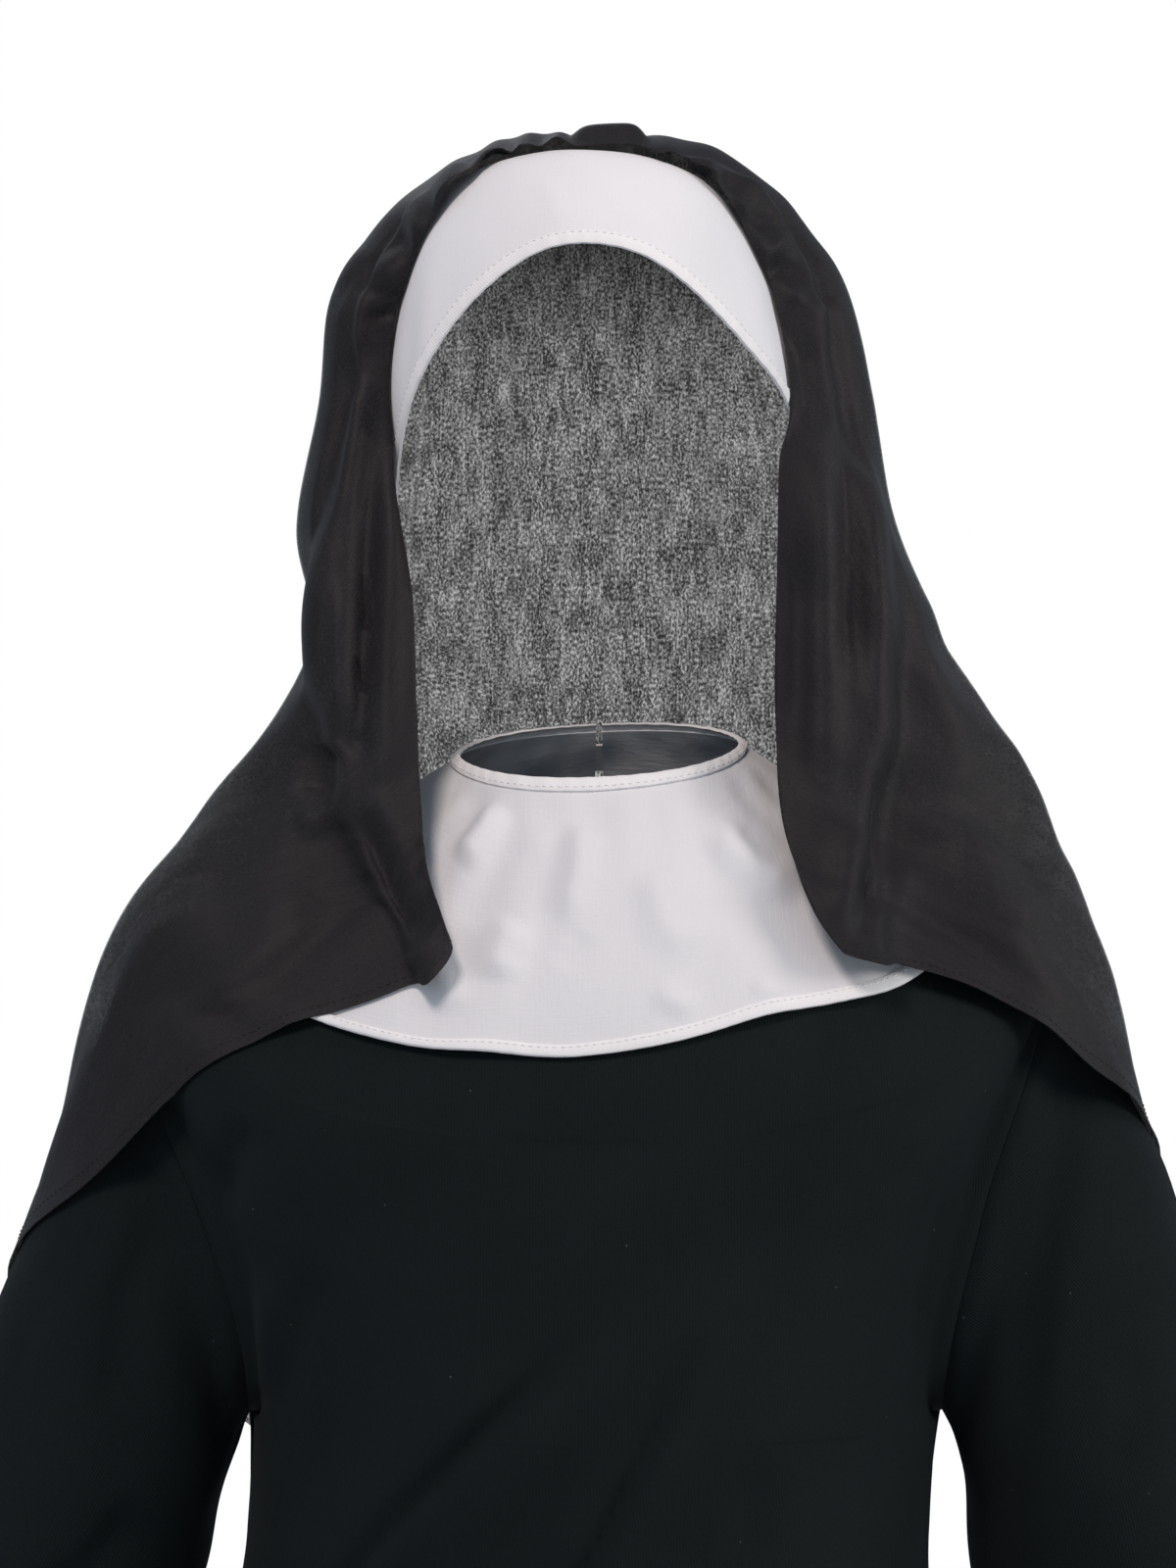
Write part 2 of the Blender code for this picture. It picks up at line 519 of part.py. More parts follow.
def veil_grid(sections, columns):
    """Middle surface of the veil with its folds and gathers."""
    grid = np.array([through(veil_section(p), columns) for p in sections])
    normals = grid_normals(grid)
    half = len(VEIL_STEPS)
    across = (columns - half) / (half - SIDE_POINT)
    section = sections[:, None]
    height = np.zeros(grid.shape[:2])
    for centre, half_width, depth, top in VEIL_BACK_FOLDS:
        height += depth * hump(across[None, :] - centre, half_width) * ease(section, top, BACK_FOLD_FULL)
    for gathers, from_edge in ((GATHERS_LEFT, columns), (GATHERS_RIGHT, 2 * half - columns)):
        near = np.where(from_edge < half, hump(from_edge - GATHER_PLACE[0], GATHER_PLACE[1]), 0)
        for centre, half_width, depth in gathers:
            height += depth * hump(section - centre, half_width) * near[None, :]
    tuft = hump(grid[..., 0] - TUFT_X[0], TUFT_X[1]) * hump(section - TUFT_SECTION[0], TUFT_SECTION[1])
    height += TUFT_HEIGHT * tuft
    return grid + normals * height[..., None]


LIFT_NEIGHBOURS = 6
LIFT_SOFTNESS = 1e-4


def lift_clear(grid, names, gap, reach):
    """Moves each point that lies behind the outer skins of the named pieces, or too near, out to the gap."""
    places = np.concatenate([skins[name][0].reshape(-1, 3) for name in names])
    directions = np.concatenate([skins[name][1].reshape(-1, 3) for name in names])
    tree = KDTree(len(places))
    for index, place in enumerate(places):
        tree.insert(place, index)
    tree.balance()
    moved = grid.copy()
    for index in np.ndindex(grid.shape[:2]):
        push = np.zeros(3)
        weight = 1e-9
        for place, nearest, distance in tree.find_n(grid[index], LIFT_NEIGHBOURS):
            if distance < reach:
                direction = directions[nearest]
                away = np.dot(grid[index] - np.array(place), direction)
                share = 1 / (distance + LIFT_SOFTNESS)
                fade = ease(distance, reach, reach / 2)
                push += share * fade * direction * max(gap - away, 0)
                weight += share
        moved[index] = grid[index] + push / weight
    return moved


VEIL_ROWS = 28
middle = veil_grid(np.linspace(0, len(VEIL_BACK) - 1, VEIL_ROWS), veil_columns())
for pieces_below, reach in (
    (["headband"], 0.024),
    (["tunic_front", "tunic_back", "sleeve_left", "sleeve_right", "bib"], 0.048),
):
    middle = lift_clear(middle, pieces_below, VEIL_WALL / 2 + VEIL_OVER_ALL, reach)
make_wall("veil", middle, grid_normals(middle), VEIL_WALL, black_cloth)
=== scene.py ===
"""Looks of a nun habit, worn: a thin black veil gathered onto a white brow band, a round white bib with
bound edges, and a long dark tunic. Metres, but millimetres in the tables that say so. +Z up, and the
wearer faces -Y. Left and right are as seen from in front."""

import math

import bpy
import numpy as np
from mathutils.kdtree import KDTree
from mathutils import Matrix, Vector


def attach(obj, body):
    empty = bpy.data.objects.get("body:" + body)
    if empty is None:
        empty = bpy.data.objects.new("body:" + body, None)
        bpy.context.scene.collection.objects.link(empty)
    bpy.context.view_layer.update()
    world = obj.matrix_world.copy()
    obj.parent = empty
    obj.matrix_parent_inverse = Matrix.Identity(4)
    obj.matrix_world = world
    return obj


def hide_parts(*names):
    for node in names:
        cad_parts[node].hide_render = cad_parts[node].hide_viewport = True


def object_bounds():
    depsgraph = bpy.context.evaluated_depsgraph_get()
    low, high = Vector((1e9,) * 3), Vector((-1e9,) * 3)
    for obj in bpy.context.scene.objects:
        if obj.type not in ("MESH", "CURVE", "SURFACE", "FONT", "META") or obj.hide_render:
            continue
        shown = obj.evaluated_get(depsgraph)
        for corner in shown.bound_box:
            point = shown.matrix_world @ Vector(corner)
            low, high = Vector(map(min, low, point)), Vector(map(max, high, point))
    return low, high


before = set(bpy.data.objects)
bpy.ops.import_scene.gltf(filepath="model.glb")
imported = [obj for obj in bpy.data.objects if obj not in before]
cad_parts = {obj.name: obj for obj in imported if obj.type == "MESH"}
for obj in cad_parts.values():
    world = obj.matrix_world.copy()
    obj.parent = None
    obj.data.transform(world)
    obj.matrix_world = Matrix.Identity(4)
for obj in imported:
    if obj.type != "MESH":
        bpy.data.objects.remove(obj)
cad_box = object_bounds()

# ================================================================ tunic, front and back
# Two panels of dark cotton jersey, cut to the ankle and joined at the shoulders and sides, with an armhole
# left open at each side. They hang from the shoulders, drag a little over the chest and fall in soft flutes.
MM = 0.001
TUNIC_WALL = 0.0010
TUNIC_BLACK = (0.0066, 0.0094, 0.0098)

HEM, WAIST, UNDERARM, CHEST, SHOULDER, BIB_HEM, TUNIC_NECK, NECK_BASE = 0, 4, 6, 7, 8, 9, 10, 11
FORM_ROWS = MM * np.array([
    # side_x, side_z, front_y, front_z, back_y, back_z, mm
    (325, -1360, -245, -1360, 250, -1360),  # hem
    (290, -1100, -215, -1100, 222, -1100),  # shin
    (248, -860, -182, -860, 192, -860),  # knee
    (198, -620, -152, -620, 160, -620),  # hip
    (156, -430, -128, -430, 120, -430),  # waist
    (136, -310, -130, -310, 108, -310),  # bust
    (130, -236, -125, -236, 112, -236),  # underarm
    (152, -150, -115, -175, 116, -165),  # chest
    (168, -64, -107, -129, 112, -105),  # shoulder
    (140, -44, -99, -99, 102, -64),  # where the bib's hem lies
    (80, -8, -73, -42, 66, -6),  # the tunic's neck
    (51, 11, -46, 0.7, 45, 21),  # base of the wearer's neck
])
UNEVEN_SIDES = (
    # side, share of the width, row, half width in rows
    (-1, 0.065, 7.6, 1.1),
    (1, -0.085, 5.0, 0.7),
)
NECK_TILT = 0.045
ROUNDNESS = 0.88
RISE_POWER = 1.15
ARMHOLE_HALF_ANGLE = math.radians(23)
SEAM_ANGLE = 0.0011

SKIRT_FOLDS = (
    # angle_deg, half_width_deg, depth, top_z
    (-172, 11, 0.024, -0.62),
    (-141, 12, 0.030, -0.52),
    (-108, 10, 0.022, -0.70),
    (-74, 11, 0.027, -0.60),
    (-43, 10, 0.021, -0.56),
    (-12, 12, 0.026, -0.66),
    (22, 10, 0.019, -0.58),
    (51, 12, 0.029, -0.64),
    (86, 10, 0.023, -0.56),
    (117, 12, 0.028, -0.68),
    (149, 10, 0.021, -0.54),
)
FRONT_DRAGS = (
    # x0, z0, x1, z1, half_width, depth
    (0.045, -0.180, -0.085, -0.290, 0.014, 0.0045),
    (0.040, -0.205, -0.010, -0.290, 0.015, 0.0040),
    (-0.110, -0.190, -0.125, -0.270, 0.012, 0.0030),
    (0.120, -0.330, 0.020, -0.440, 0.020, 0.0050),
    (-0.120, -0.350, -0.030, -0.430, 0.018, 0.0045),
)
DRAG_FADE = 0.020

# Creases are listed in mm: a line of (x, z) points, the half width to its left and to its right, and
# its height, which is negative for a trough.
TUNIC_FRONT_CREASES = (
    (
        ((4, -183), (-2.8, -190), (-28.7, -217), (-53.8, -243), (-84.6, -277), (-106, -306), (-114, -345)),
        3.8, 5.5, -5,
    ),
    (((-6, -204), (-25, -223), (-49, -247), (-79, -281), (-100, -311)), 5.5, 6, 2.6),
    (((-28, -200), (-48, -220), (-72, -245), (-98, -278)), 12, 14, 2.4),
    (
        ((38, -190), (29.7, -207), (14.3, -238), (4.2, -258), (-5.9, -278), (-21, -310), (-32, -348)),
        4.2, 5, -4.6,
    ),
    (((34, -222), (22.5, -244), (12.5, -264), (2, -286), (-12, -315)), 6, 8, 2),
    (((-5, -218), (-24, -240), (-42, -262), (-56, -290)), 8, 7, 1.6),
    (((56, -237), (53, -270), (44, -305)), 7.2, 9.6, -2.6),
    (((10, -226), (-10, -262), (-24, -284)), 6, 7.2, 2),
    (((-127, -120), (-138, -143), (-141, -160)), 6, 8.4, -4.4),
    (((-102, -170), (-114, -205), (-124, -245)), 7.2, 10.8, -4.8),
    (((-118, -176), (-126, -205), (-131, -236)), 6, 7.2, 3.2),
    (((132, -140), (124, -176), (116, -215)), 7.2, 6, -4),
    (((118, -128), (96, -150), (82, -185)), 9.6, 8.4, -2),
    (((95, -300), (40, -352), (-20, -388)), 12, 18, -6),
    (((-105, -310), (-60, -352), (-5, -380)), 12, 16.8, -5.6),
    (((60, -400), (20, -470), (-10, -560)), 14.4, 19.2, -7.2),
    (((-70, -420), (-50, -500), (-56, -600)), 14.4, 19.2, -6.8),
)
TUNIC_BACK_CREASES = (
    (((40, -190), (10, -230), (-30, -275)), 7.2, 14.4, -4.4),
    (((-30, -180), (-52, -225), (-84, -262)), 7.2, 12, -4.1),
    (((112, -165), (100, -205), (104, -250)), 7.2, 10.8, -4.8),
    (((-116, -160), (-106, -200), (-112, -246)), 7.2, 9.6, -4.1),
    (((90, -300), (30, -340), (-40, -352)), 12, 18, -5.8),
    (((-95, -325), (-40, -372), (30, -392)), 12, 16.8, -5.1),
    (((70, -410), (56, -480), (62, -580)), 14.4, 19.2, -5.8),
    (((-40, -430), (-52, -500), (-46, -610)), 14.4, 19.2, -6.1),
)
CREASE_FADE = 0.30  # share of a crease's length over which it rises and sinks at each end


def curve_between(start, leave, end, arrive, f):
    """A point at share f of the curve from start to end, leaving and arriving at the given speeds."""
    return (
        (2 * f**3 - 3 * f**2 + 1) * start
        + (f**3 - 2 * f**2 + f) * leave
        + (3 * f**2 - 2 * f**3) * end
        + (f**3 - f**2) * arrive
    )


def through(points, at):
    """A smooth curve through points along axis 0, read at positions counted in points."""
    points = np.asarray(points, float)
    chord = np.linalg.norm(np.diff(points, axis=0).reshape(len(points) - 1, -1), axis=1)
    step = np.sqrt(np.maximum(chord, 1e-6))
    shape = (-1,) + (1,) * (points.ndim - 1)
    slope = np.diff(points, axis=0) / step.reshape(shape)
    before, after = step[:-1].reshape(shape), step[1:].reshape(shape)
    inner = (slope[:-1] * after + slope[1:] * before) / (before + after)
    speed = np.concatenate([slope[:1], inner, slope[-1:]])
    k = np.clip(np.floor(at).astype(int), 0, len(points) - 2)
    f = (np.asarray(at, float) - k).reshape(shape)
    reach = step[k].reshape(shape)
    return curve_between(points[k], reach * speed[k], points[k + 1], reach * speed[k + 1], f)


def hump(distance, half_width):
    return np.exp(-((distance / half_width) ** 2))


def ease(value, start, end):
    """Rises smoothly from 0 at start to 1 at end."""
    t = np.clip((value - start) / (end - start), 0, 1)
    return t * t * (3 - 2 * t)


def unit(vectors):
    return vectors / np.maximum(np.linalg.norm(vectors, axis=-1, keepdims=True), 1e-12)


def grid_normals(points, closed=False):
    """Normals of a grid of points, to the right of the way the columns run when the rows run down."""
    if closed:
        along = np.roll(points, -1, axis=1) - np.roll(points, 1, axis=1)
    else:
        along = np.gradient(points, axis=1)
    return unit(np.cross(along, np.gradient(points, axis=0)))


def form_point(angle, row):
    """Points of the worn form. Angle is 0 at centre front, +90 degrees at +X and 180 at centre back."""
    angle, row = np.broadcast_arrays(np.asarray(angle, float), np.asarray(row, float))
    ring = through(FORM_ROWS, row.reshape(-1)).reshape(*row.shape, 6)
    side_x, side_z, front_y, front_z, back_y, back_z = np.moveaxis(ring, -1, 0)
    ahead = np.cos(angle) > 0
    forward = np.abs(np.cos(angle))
    width = side_x.copy()
    for side, share, uneven_row, uneven_half in UNEVEN_SIDES:
        width += np.where(side * np.sin(angle) > 0, side_x * share * hump(row - uneven_row, uneven_half), 0)
    x = width * np.sign(np.sin(angle)) * np.abs(np.sin(angle)) ** ROUNDNESS
    y = np.where(ahead, front_y, back_y) * forward**ROUNDNESS
    z = side_z + (np.where(ahead, front_z, back_z) - side_z) * forward**RISE_POWER
    z = z + NECK_TILT * x * ease(row, BIB_HEM, NECK_BASE)
    outward = unit(np.stack([x, y, np.zeros_like(x)], -1))
    swell = np.zeros_like(x)
    for centre_deg, half_deg, depth, top_z in SKIRT_FOLDS:
        apart = np.degrees(angle) - centre_deg
        apart = (apart + 180) % 360 - 180
        swell += depth * hump(apart, half_deg) * ease(z, top_z, FORM_ROWS[HEM, 1])
    for x0, z0, x1, z1, half_width, depth in FRONT_DRAGS:
        run = np.array([x1 - x0, z1 - z0])
        length = np.hypot(*run)
        along = ((x - x0) * run[0] + (z - z0) * run[1]) / length
        across = ((x - x0) * run[1] - (z - z0) * run[0]) / length
        within = ease(along, -DRAG_FADE, DRAG_FADE) * ease(along, length + DRAG_FADE, length - DRAG_FADE)
        swell += np.where(ahead, depth * hump(across, half_width) * within, 0)
    return np.stack([x, y, z], -1) + outward * swell[..., None]


def form_normal(angle, row):
    """Outward normals of the worn form, the same on both sides of a seam."""
    step = 1e-3
    around = form_point(angle + step, row) - form_point(angle - step, row)
    upward = form_point(angle, row + step) - form_point(angle, row - step)
    return unit(np.cross(around, upward))


def crease_height(points, creases):
    """Height of a table of creases over a grid of points, as seen straight from in front or behind."""
    x, z = points[..., 0], points[..., 2]
    height = np.zeros(x.shape)
    for line, *across in creases:
        line = MM * np.array(line)
        left_half, right_half, depth = (MM * size for size in across)
        nearest = np.full(x.shape, np.inf)
        along = np.zeros(x.shape)
        side = np.ones(x.shape)
        passed = 0.0
        for (x0, z0), (x1, z1) in zip(line[:-1], line[1:]):
            run_x, run_z = x1 - x0, z1 - z0
            length = math.hypot(run_x, run_z)
            t = np.clip(((x - x0) * run_x + (z - z0) * run_z) / length**2, 0, 1)
            off_x, off_z = x - x0 - t * run_x, z - z0 - t * run_z
            distance = np.hypot(off_x, off_z)
            closer = distance < nearest
            nearest = np.where(closer, distance, nearest)
            along = np.where(closer, passed + t * length, along)
            side = np.where(closer, off_x * run_z - off_z * run_x, side)
            passed += length
        half_width = np.where(side > 0, left_half, right_half)
        fade = CREASE_FADE * passed
        faded = ease(along, 0, fade) * ease(along, passed, passed - fade)
        height += depth * hump(nearest, half_width) * faded
    return height


def cloth_lengths(middle, closed=False):
    """Distance across and down a grid of cloth in metres, measured along it: the flat map of its weave."""
    ring = np.concatenate([middle, middle[:, :1]], axis=1) if closed else middle
    across = np.linalg.norm(np.diff(ring, axis=1), axis=2)
    across = np.concatenate([np.zeros((len(ring), 1)), np.cumsum(across, axis=1)], axis=1)
    across -= across[:, across.shape[1] // 2, None]
    down = np.linalg.norm(np.diff(ring, axis=0), axis=2).mean(axis=1)
    down = np.concatenate([[0], np.cumsum(down)])
    return across, np.repeat(down[:, None], across.shape[1], axis=1)


WAVE_COUNT = 8


def slow_waves(across, down, seed, height, length):
    """The slight unevenness of hanging cloth: a few slow waves laid over each other at random angles."""
    draw = np.random.default_rng(seed)
    total = np.zeros(across.shape)
    for _ in range(WAVE_COUNT):
        turn, phase, stretch = draw.uniform(0, math.tau), draw.uniform(0, math.tau), draw.uniform(0.6, 1.7)
        along = across * math.cos(turn) + down * math.sin(turn)
        total += np.sin(along * math.tau / (length * stretch) + phase)
    return height * total / 3


skins = {}  # the outer skin of each cloth that is made, and its normals, for what lies on it
RIM_ANGLE = math.radians(55)


def placed(name, mesh, material):
    """The piece made of a mesh, in its material, carried by the habit's body."""
    mesh.materials.append(material)
    piece = bpy.data.objects.new(name, mesh)
    bpy.context.scene.collection.objects.link(piece)
    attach(piece, "root")
    return piece


def cloth(name, solid, middle, normals, wall, material, closed=False):
    """A wall of cloth about a grid of middle points, in place of a solid: two skins and their rim, with a
    flat map in metres."""
    rows, columns = middle.shape[:2]
    skins[name] = (middle + normals * wall / 2, normals)
    points = np.concatenate([middle + normals * wall / 2, middle - normals * wall / 2]).reshape(-1, 3)
    across, down = cloth_lengths(middle, closed)
    index = np.arange(rows * columns).reshape(rows, columns)
    if closed:
        index = np.concatenate([index, index[:, :1]], axis=1)
    spots = np.arange(index.size).reshape(index.shape)
    under = rows * columns

    def corners(grid):
        return np.stack([grid[:-1, :-1], grid[1:, :-1], grid[1:, 1:], grid[:-1, 1:]], -1).reshape(-1, 4)

    outside, map_outside = corners(index), corners(spots)
    faces = [outside, outside[:, ::-1] + under]
    maps = [map_outside, map_outside[:, ::-1]]
    rims = [(index[0], spots[0], False), (index[-1], spots[-1], True)]
    if not closed:
        rims += [(index[:, 0], spots[:, 0], True), (index[:, -1], spots[:, -1], False)]
    for line, spot, turned in rims:
        a, b, s, t = line[:-1], line[1:], spot[:-1], spot[1:]
        strip = np.stack([a, b, b + under, a + under], -1)
        strip_map = np.stack([s, t, t, s], -1)
        faces.append(strip[:, ::-1] if turned else strip)
        maps.append(strip_map[:, ::-1] if turned else strip_map)
    faces, maps = np.concatenate(faces), np.concatenate(maps)
    facing = np.cross(np.gradient(middle, axis=0), np.gradient(middle, axis=1))
    if np.sum(facing * normals) < 0:
        faces, maps = faces[:, ::-1], maps[:, ::-1]
    mesh = bpy.data.meshes.new(name)
    mesh.from_pydata(points.tolist(), [], faces.tolist())
    flat_map = mesh.uv_layers.new(name="flat")
    laid = np.stack([across.reshape(-1)[maps.reshape(-1)], down.reshape(-1)[maps.reshape(-1)]], -1)
    flat_map.data.foreach_set("uv", laid.astype(np.float32).reshape(-1))
    mesh.shade_smooth()
    mesh.set_sharp_from_angle(angle=RIM_ANGLE)
    piece = placed(name, mesh, material)
    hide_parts(solid)
    return piece


class Finish:
    """A material, built up from steps. Each step takes sockets or plain values and gives a socket."""

    def __init__(self, name, surface):
        self.material = bpy.data.materials.new(name)
        self.material.use_nodes = True
        self.nodes, self.links = self.material.node_tree.nodes, self.material.node_tree.links
        self.shader = self.nodes["Principled BSDF"]
        self.fill(self.shader, surface)

    def fill(self, node, inputs):
        """Links sockets to a node's inputs, or sets plain values on them, by name or by place."""
        for place, value in inputs.items():
            if isinstance(value, bpy.types.NodeSocket):
                self.links.new(value, node.inputs[place])
            else:
                node.inputs[place].default_value = value

    def step(self, kind, inputs, result=0, **settings):
        node = self.nodes.new("ShaderNode" + kind)
        for setting, value in settings.items():
            setattr(node, setting, value)
        self.fill(node, inputs)
        return node.outputs[result]

    def math(self, operation, *values):
        return self.step("Math", dict(enumerate(values)), operation=operation)

    def plus(self, first, second):
        return self.math("ADD", first, second)

    def times(self, first, second):
        return self.math("MULTIPLY", first, second)

    def wave(self, value, length):
        """Rises and falls along a value, once in each length."""
        return self.math("SINE", self.times(value, math.tau / length))

    def flat(self, across=1, down=1):
        """The cloth's own flat map, in metres, scaled each way."""
        where = self.step("UVMap", {}, "UV", uv_map="flat")
        return self.step("Mapping", {"Vector": where, "Scale": (across, down, 1)}, "Vector")

    def across_and_down(self):
        across = self.step("SeparateXYZ", {"Vector": self.flat()}, "X")
        return across, across.node.outputs["Y"]

    def noise(self, vector, detail=2.0, roughness=0.5):
        """Soft random values about 0.5, with one blotch for each unit of the vector."""
        inputs = {"Vector": vector, "Scale": 1.0, "Detail": detail, "Roughness": roughness}
        return self.step("TexNoise", inputs, "Fac")

    def spread(self, value, low, high, to_low=0, to_high=1):
        """Stretches a value from one range to another, clamped."""
        inputs = {"Value": value, "From Min": low, "From Max": high, "To Min": to_low, "To Max": to_high}
        return self.step("MapRange", inputs, "Result")

    def between(self, factor, first, second):
        """A colour between two."""
        inputs = {"Factor": factor, "A": first, "B": second}
        return self.step("Mix", inputs, "Result", data_type="RGBA")

    def shades(self, factor, colour, darker, lighter):
        """A colour between a darker and a lighter shade of the cloth's own."""
        dark, light = ((*(min(1, share * part) for part in colour), 1) for share in (darker, lighter))
        return self.between(factor, dark, light)

    def relief(self, height, distance, strength):
        """Gives the surface the relief of a height in metres."""
        inputs = {"Height": height, "Distance": distance, "Strength": strength}
        self.fill(self.shader, {"Normal": self.step("Bump", inputs, "Normal")})

    def coloured(self, colour):
        """Gives the surface its colour, and hands over the material."""
        self.fill(self.shader, {"Base Color": colour})
        return self.material


WALE = 0.0011  # one column of knit stitches
COURSE = 0.0008  # one row of them
LINT_SIZE = 0.011  # one speck of lint in each patch of about this size
LINT_SHARE = 0.28  # of the patches that have a speck
LINT_GREY = (0.085, 0.080, 0.072, 1)


def jersey():
    """Dark cotton jersey: matt, finely ribbed by its columns of stitches, a little faded and linty."""
    finish = Finish("tunic_jersey", {
        "Roughness": 0.80, "Specular IOR Level": 0.10,
        "Sheen Weight": 0.02, "Sheen Roughness": 0.45, "Sheen Tint": (0.60, 0.68, 0.72, 1),
    })
    across, down = finish.across_and_down()
    courses = finish.plus(finish.times(finish.wave(down, COURSE), 0.35), 1.0)
    loops = finish.times(finish.wave(across, WALE), courses)
    fuzz = finish.noise(finish.flat(900, 700), 3, 0.6)
    finish.relief(finish.plus(finish.times(loops, 0.22), fuzz), 0.0005, 0.55)
    patches = finish.noise(finish.flat(16, 11), 4, 0.55)
    patches = finish.spread(patches, 0.3, 0.7, 0.25, 0.75)
    faded = finish.plus(patches, finish.spread(fuzz, 0.25, 0.75, -0.35, 0.35))
    lint_grid = finish.flat(1 / LINT_SIZE, 1 / LINT_SIZE)
    lint = finish.step("TexVoronoi", {"Vector": lint_grid, "Scale": 1.0}, "Distance")
    chance = finish.step("SeparateColor", {"Color": lint.node.outputs["Color"]}, "Red")
    chosen = finish.math("GREATER_THAN", chance, 1 - LINT_SHARE)
    specks = finish.times(finish.spread(lint, 0.020, 0.045, 1, 0), chosen)
    return finish.coloured(finish.between(specks, finish.shades(faded, TUNIC_BLACK, 0.78, 1.24), LINT_GREY))


tunic_jersey = jersey()


def panel_half_angle(row):
    """How far a panel reaches round from its centre line, which is less beside the armhole."""
    inside = np.clip(1 - (row - CHEST) ** 2, 0, 1)
    return math.pi / 2 - SEAM_ANGLE - ARMHOLE_HALF_ANGLE * np.sqrt(inside)


SKIRT_STEPS, BODICE_STEPS, ARMHOLE_STEPS, YOKE_STEPS, PANEL_COLUMNS = 92, 70, 62, 20, 151
HEM_DEPTH = 0.022  # the jersey is turned up this far and stitched
HEM_SWELL = 0.0006
SEAM_SINK = 0.0003
SEAM_HALF = 0.0036
ARMHOLE_PULL = 0.0050  # how far the jersey is drawn in along the armhole
PULL_FROM_SEAM = 0.010  # and where it is drawn in the most
ARMHOLE_PULL_HALF = 0.021
SEAM_REST = 0.020  # folds sink away within this distance of a seam
UNDER_BIB = (-0.085, -0.125)  # between these heights they sink away under the bib
TUNIC_WAVES = (0.0009, 0.085)  # height and length of the slow waves
HEM_STEP_HALF = 0.0012
STITCHED_HALF = 0.0010
STITCHED_DIP = 1.4  # of the swell of the hem


def sewn_edges(height, from_edge, depth, swell):
    """Adds the step of a turned-up hem, with the dip where it is stitched down."""
    step = swell * ease(from_edge, depth + HEM_STEP_HALF, depth - HEM_STEP_HALF)
    return height + step - STITCHED_DIP * swell * hump(from_edge - depth, STITCHED_HALF)


# Rows are laid out from the hem up to the neck and turned to run down. They crowd at the armhole's ends.
rows = np.concatenate([
    np.linspace(HEM, WAIST, SKIRT_STEPS + 1)[:-1],
    np.linspace(WAIST, UNDERARM - 0.02, BODICE_STEPS),
    CHEST - np.cos(np.linspace(0, math.pi, ARMHOLE_STEPS + 1)),
    np.linspace(SHOULDER, TUNIC_NECK, YOKE_STEPS + 1)[1:],
])[::-1, None]
spread_columns = np.linspace(-1, 1, PANEL_COLUMNS)[None, :] * panel_half_angle(rows)
tunic_panels = {}
for panel_name, centre_angle, creases, seed in (
    ("tunic_front", 0.0, TUNIC_FRONT_CREASES, 11),
    ("tunic_back", math.pi, TUNIC_BACK_CREASES, 12),
):
    angles = centre_angle + spread_columns
    middle = form_point(angles, rows + 0 * angles)
    normals = form_normal(angles, rows + 0 * angles)
    across, down = cloth_lengths(middle)
    under_bib = ease(middle[..., 2], *UNDER_BIB)
    height = (crease_height(middle, creases) + slow_waves(across, down, seed, *TUNIC_WAVES)) * under_bib
    to_seam = np.minimum(across - across[:, :1], across[:, -1:] - across)
    height *= ease(to_seam, 0, SEAM_REST)
    height -= SEAM_SINK * hump(to_seam, SEAM_HALF)
    beside_armhole = ease(rows, UNDERARM - 0.6, UNDERARM + 0.2) * ease(rows, SHOULDER + 0.1, SHOULDER - 0.5)
    pull = ARMHOLE_PULL * hump(to_seam - PULL_FROM_SEAM, ARMHOLE_PULL_HALF)
    height -= pull * beside_armhole * ease(to_seam, 0, PULL_FROM_SEAM)
    height = sewn_edges(height, down[-1:] - down, HEM_DEPTH, HEM_SWELL)
    middle = middle + normals * height[..., None]
    tunic_panels[panel_name] = cloth(
        panel_name + "_cloth", panel_name, middle, normals, TUNIC_WALL, tunic_jersey)


# ================================================================ sleeves
# Long sleeves of the same jersey, set into the armholes. Each rounds over the shoulder and runs down the
# arm to an open cuff, with drag lines from the armhole and a few bends in front of the elbow.
SEAM_GAP = 0.0003
ARM_ROWS = {
    "sleeve_left": MM * np.array([
        # x, y, z, half_width, half_depth, in mm
        (-203, 0, -285, 54, 58),
        (-230, 0, -350, 52, 55),
        (-260, -8, -460, 50, 53),
        (-280, -22, -580, 53, 56),
    ]),
    "sleeve_right": MM * np.array([
        (196, 0, -285, 57, 58),
        (209, 0, -350, 51, 55),
        (234, -8, -460, 50, 53),
        (262, -22, -580, 53, 56),
    ]),
}
CAP_UNDERARM = 0.050
CAP_OUTWARD = {"sleeve_left": -0.034, "sleeve_right": 0.020}
CAP_FLANK = 0.020
CAP_DOWNWARD = 0.100
CAP_TOP_SHARE = 0.55
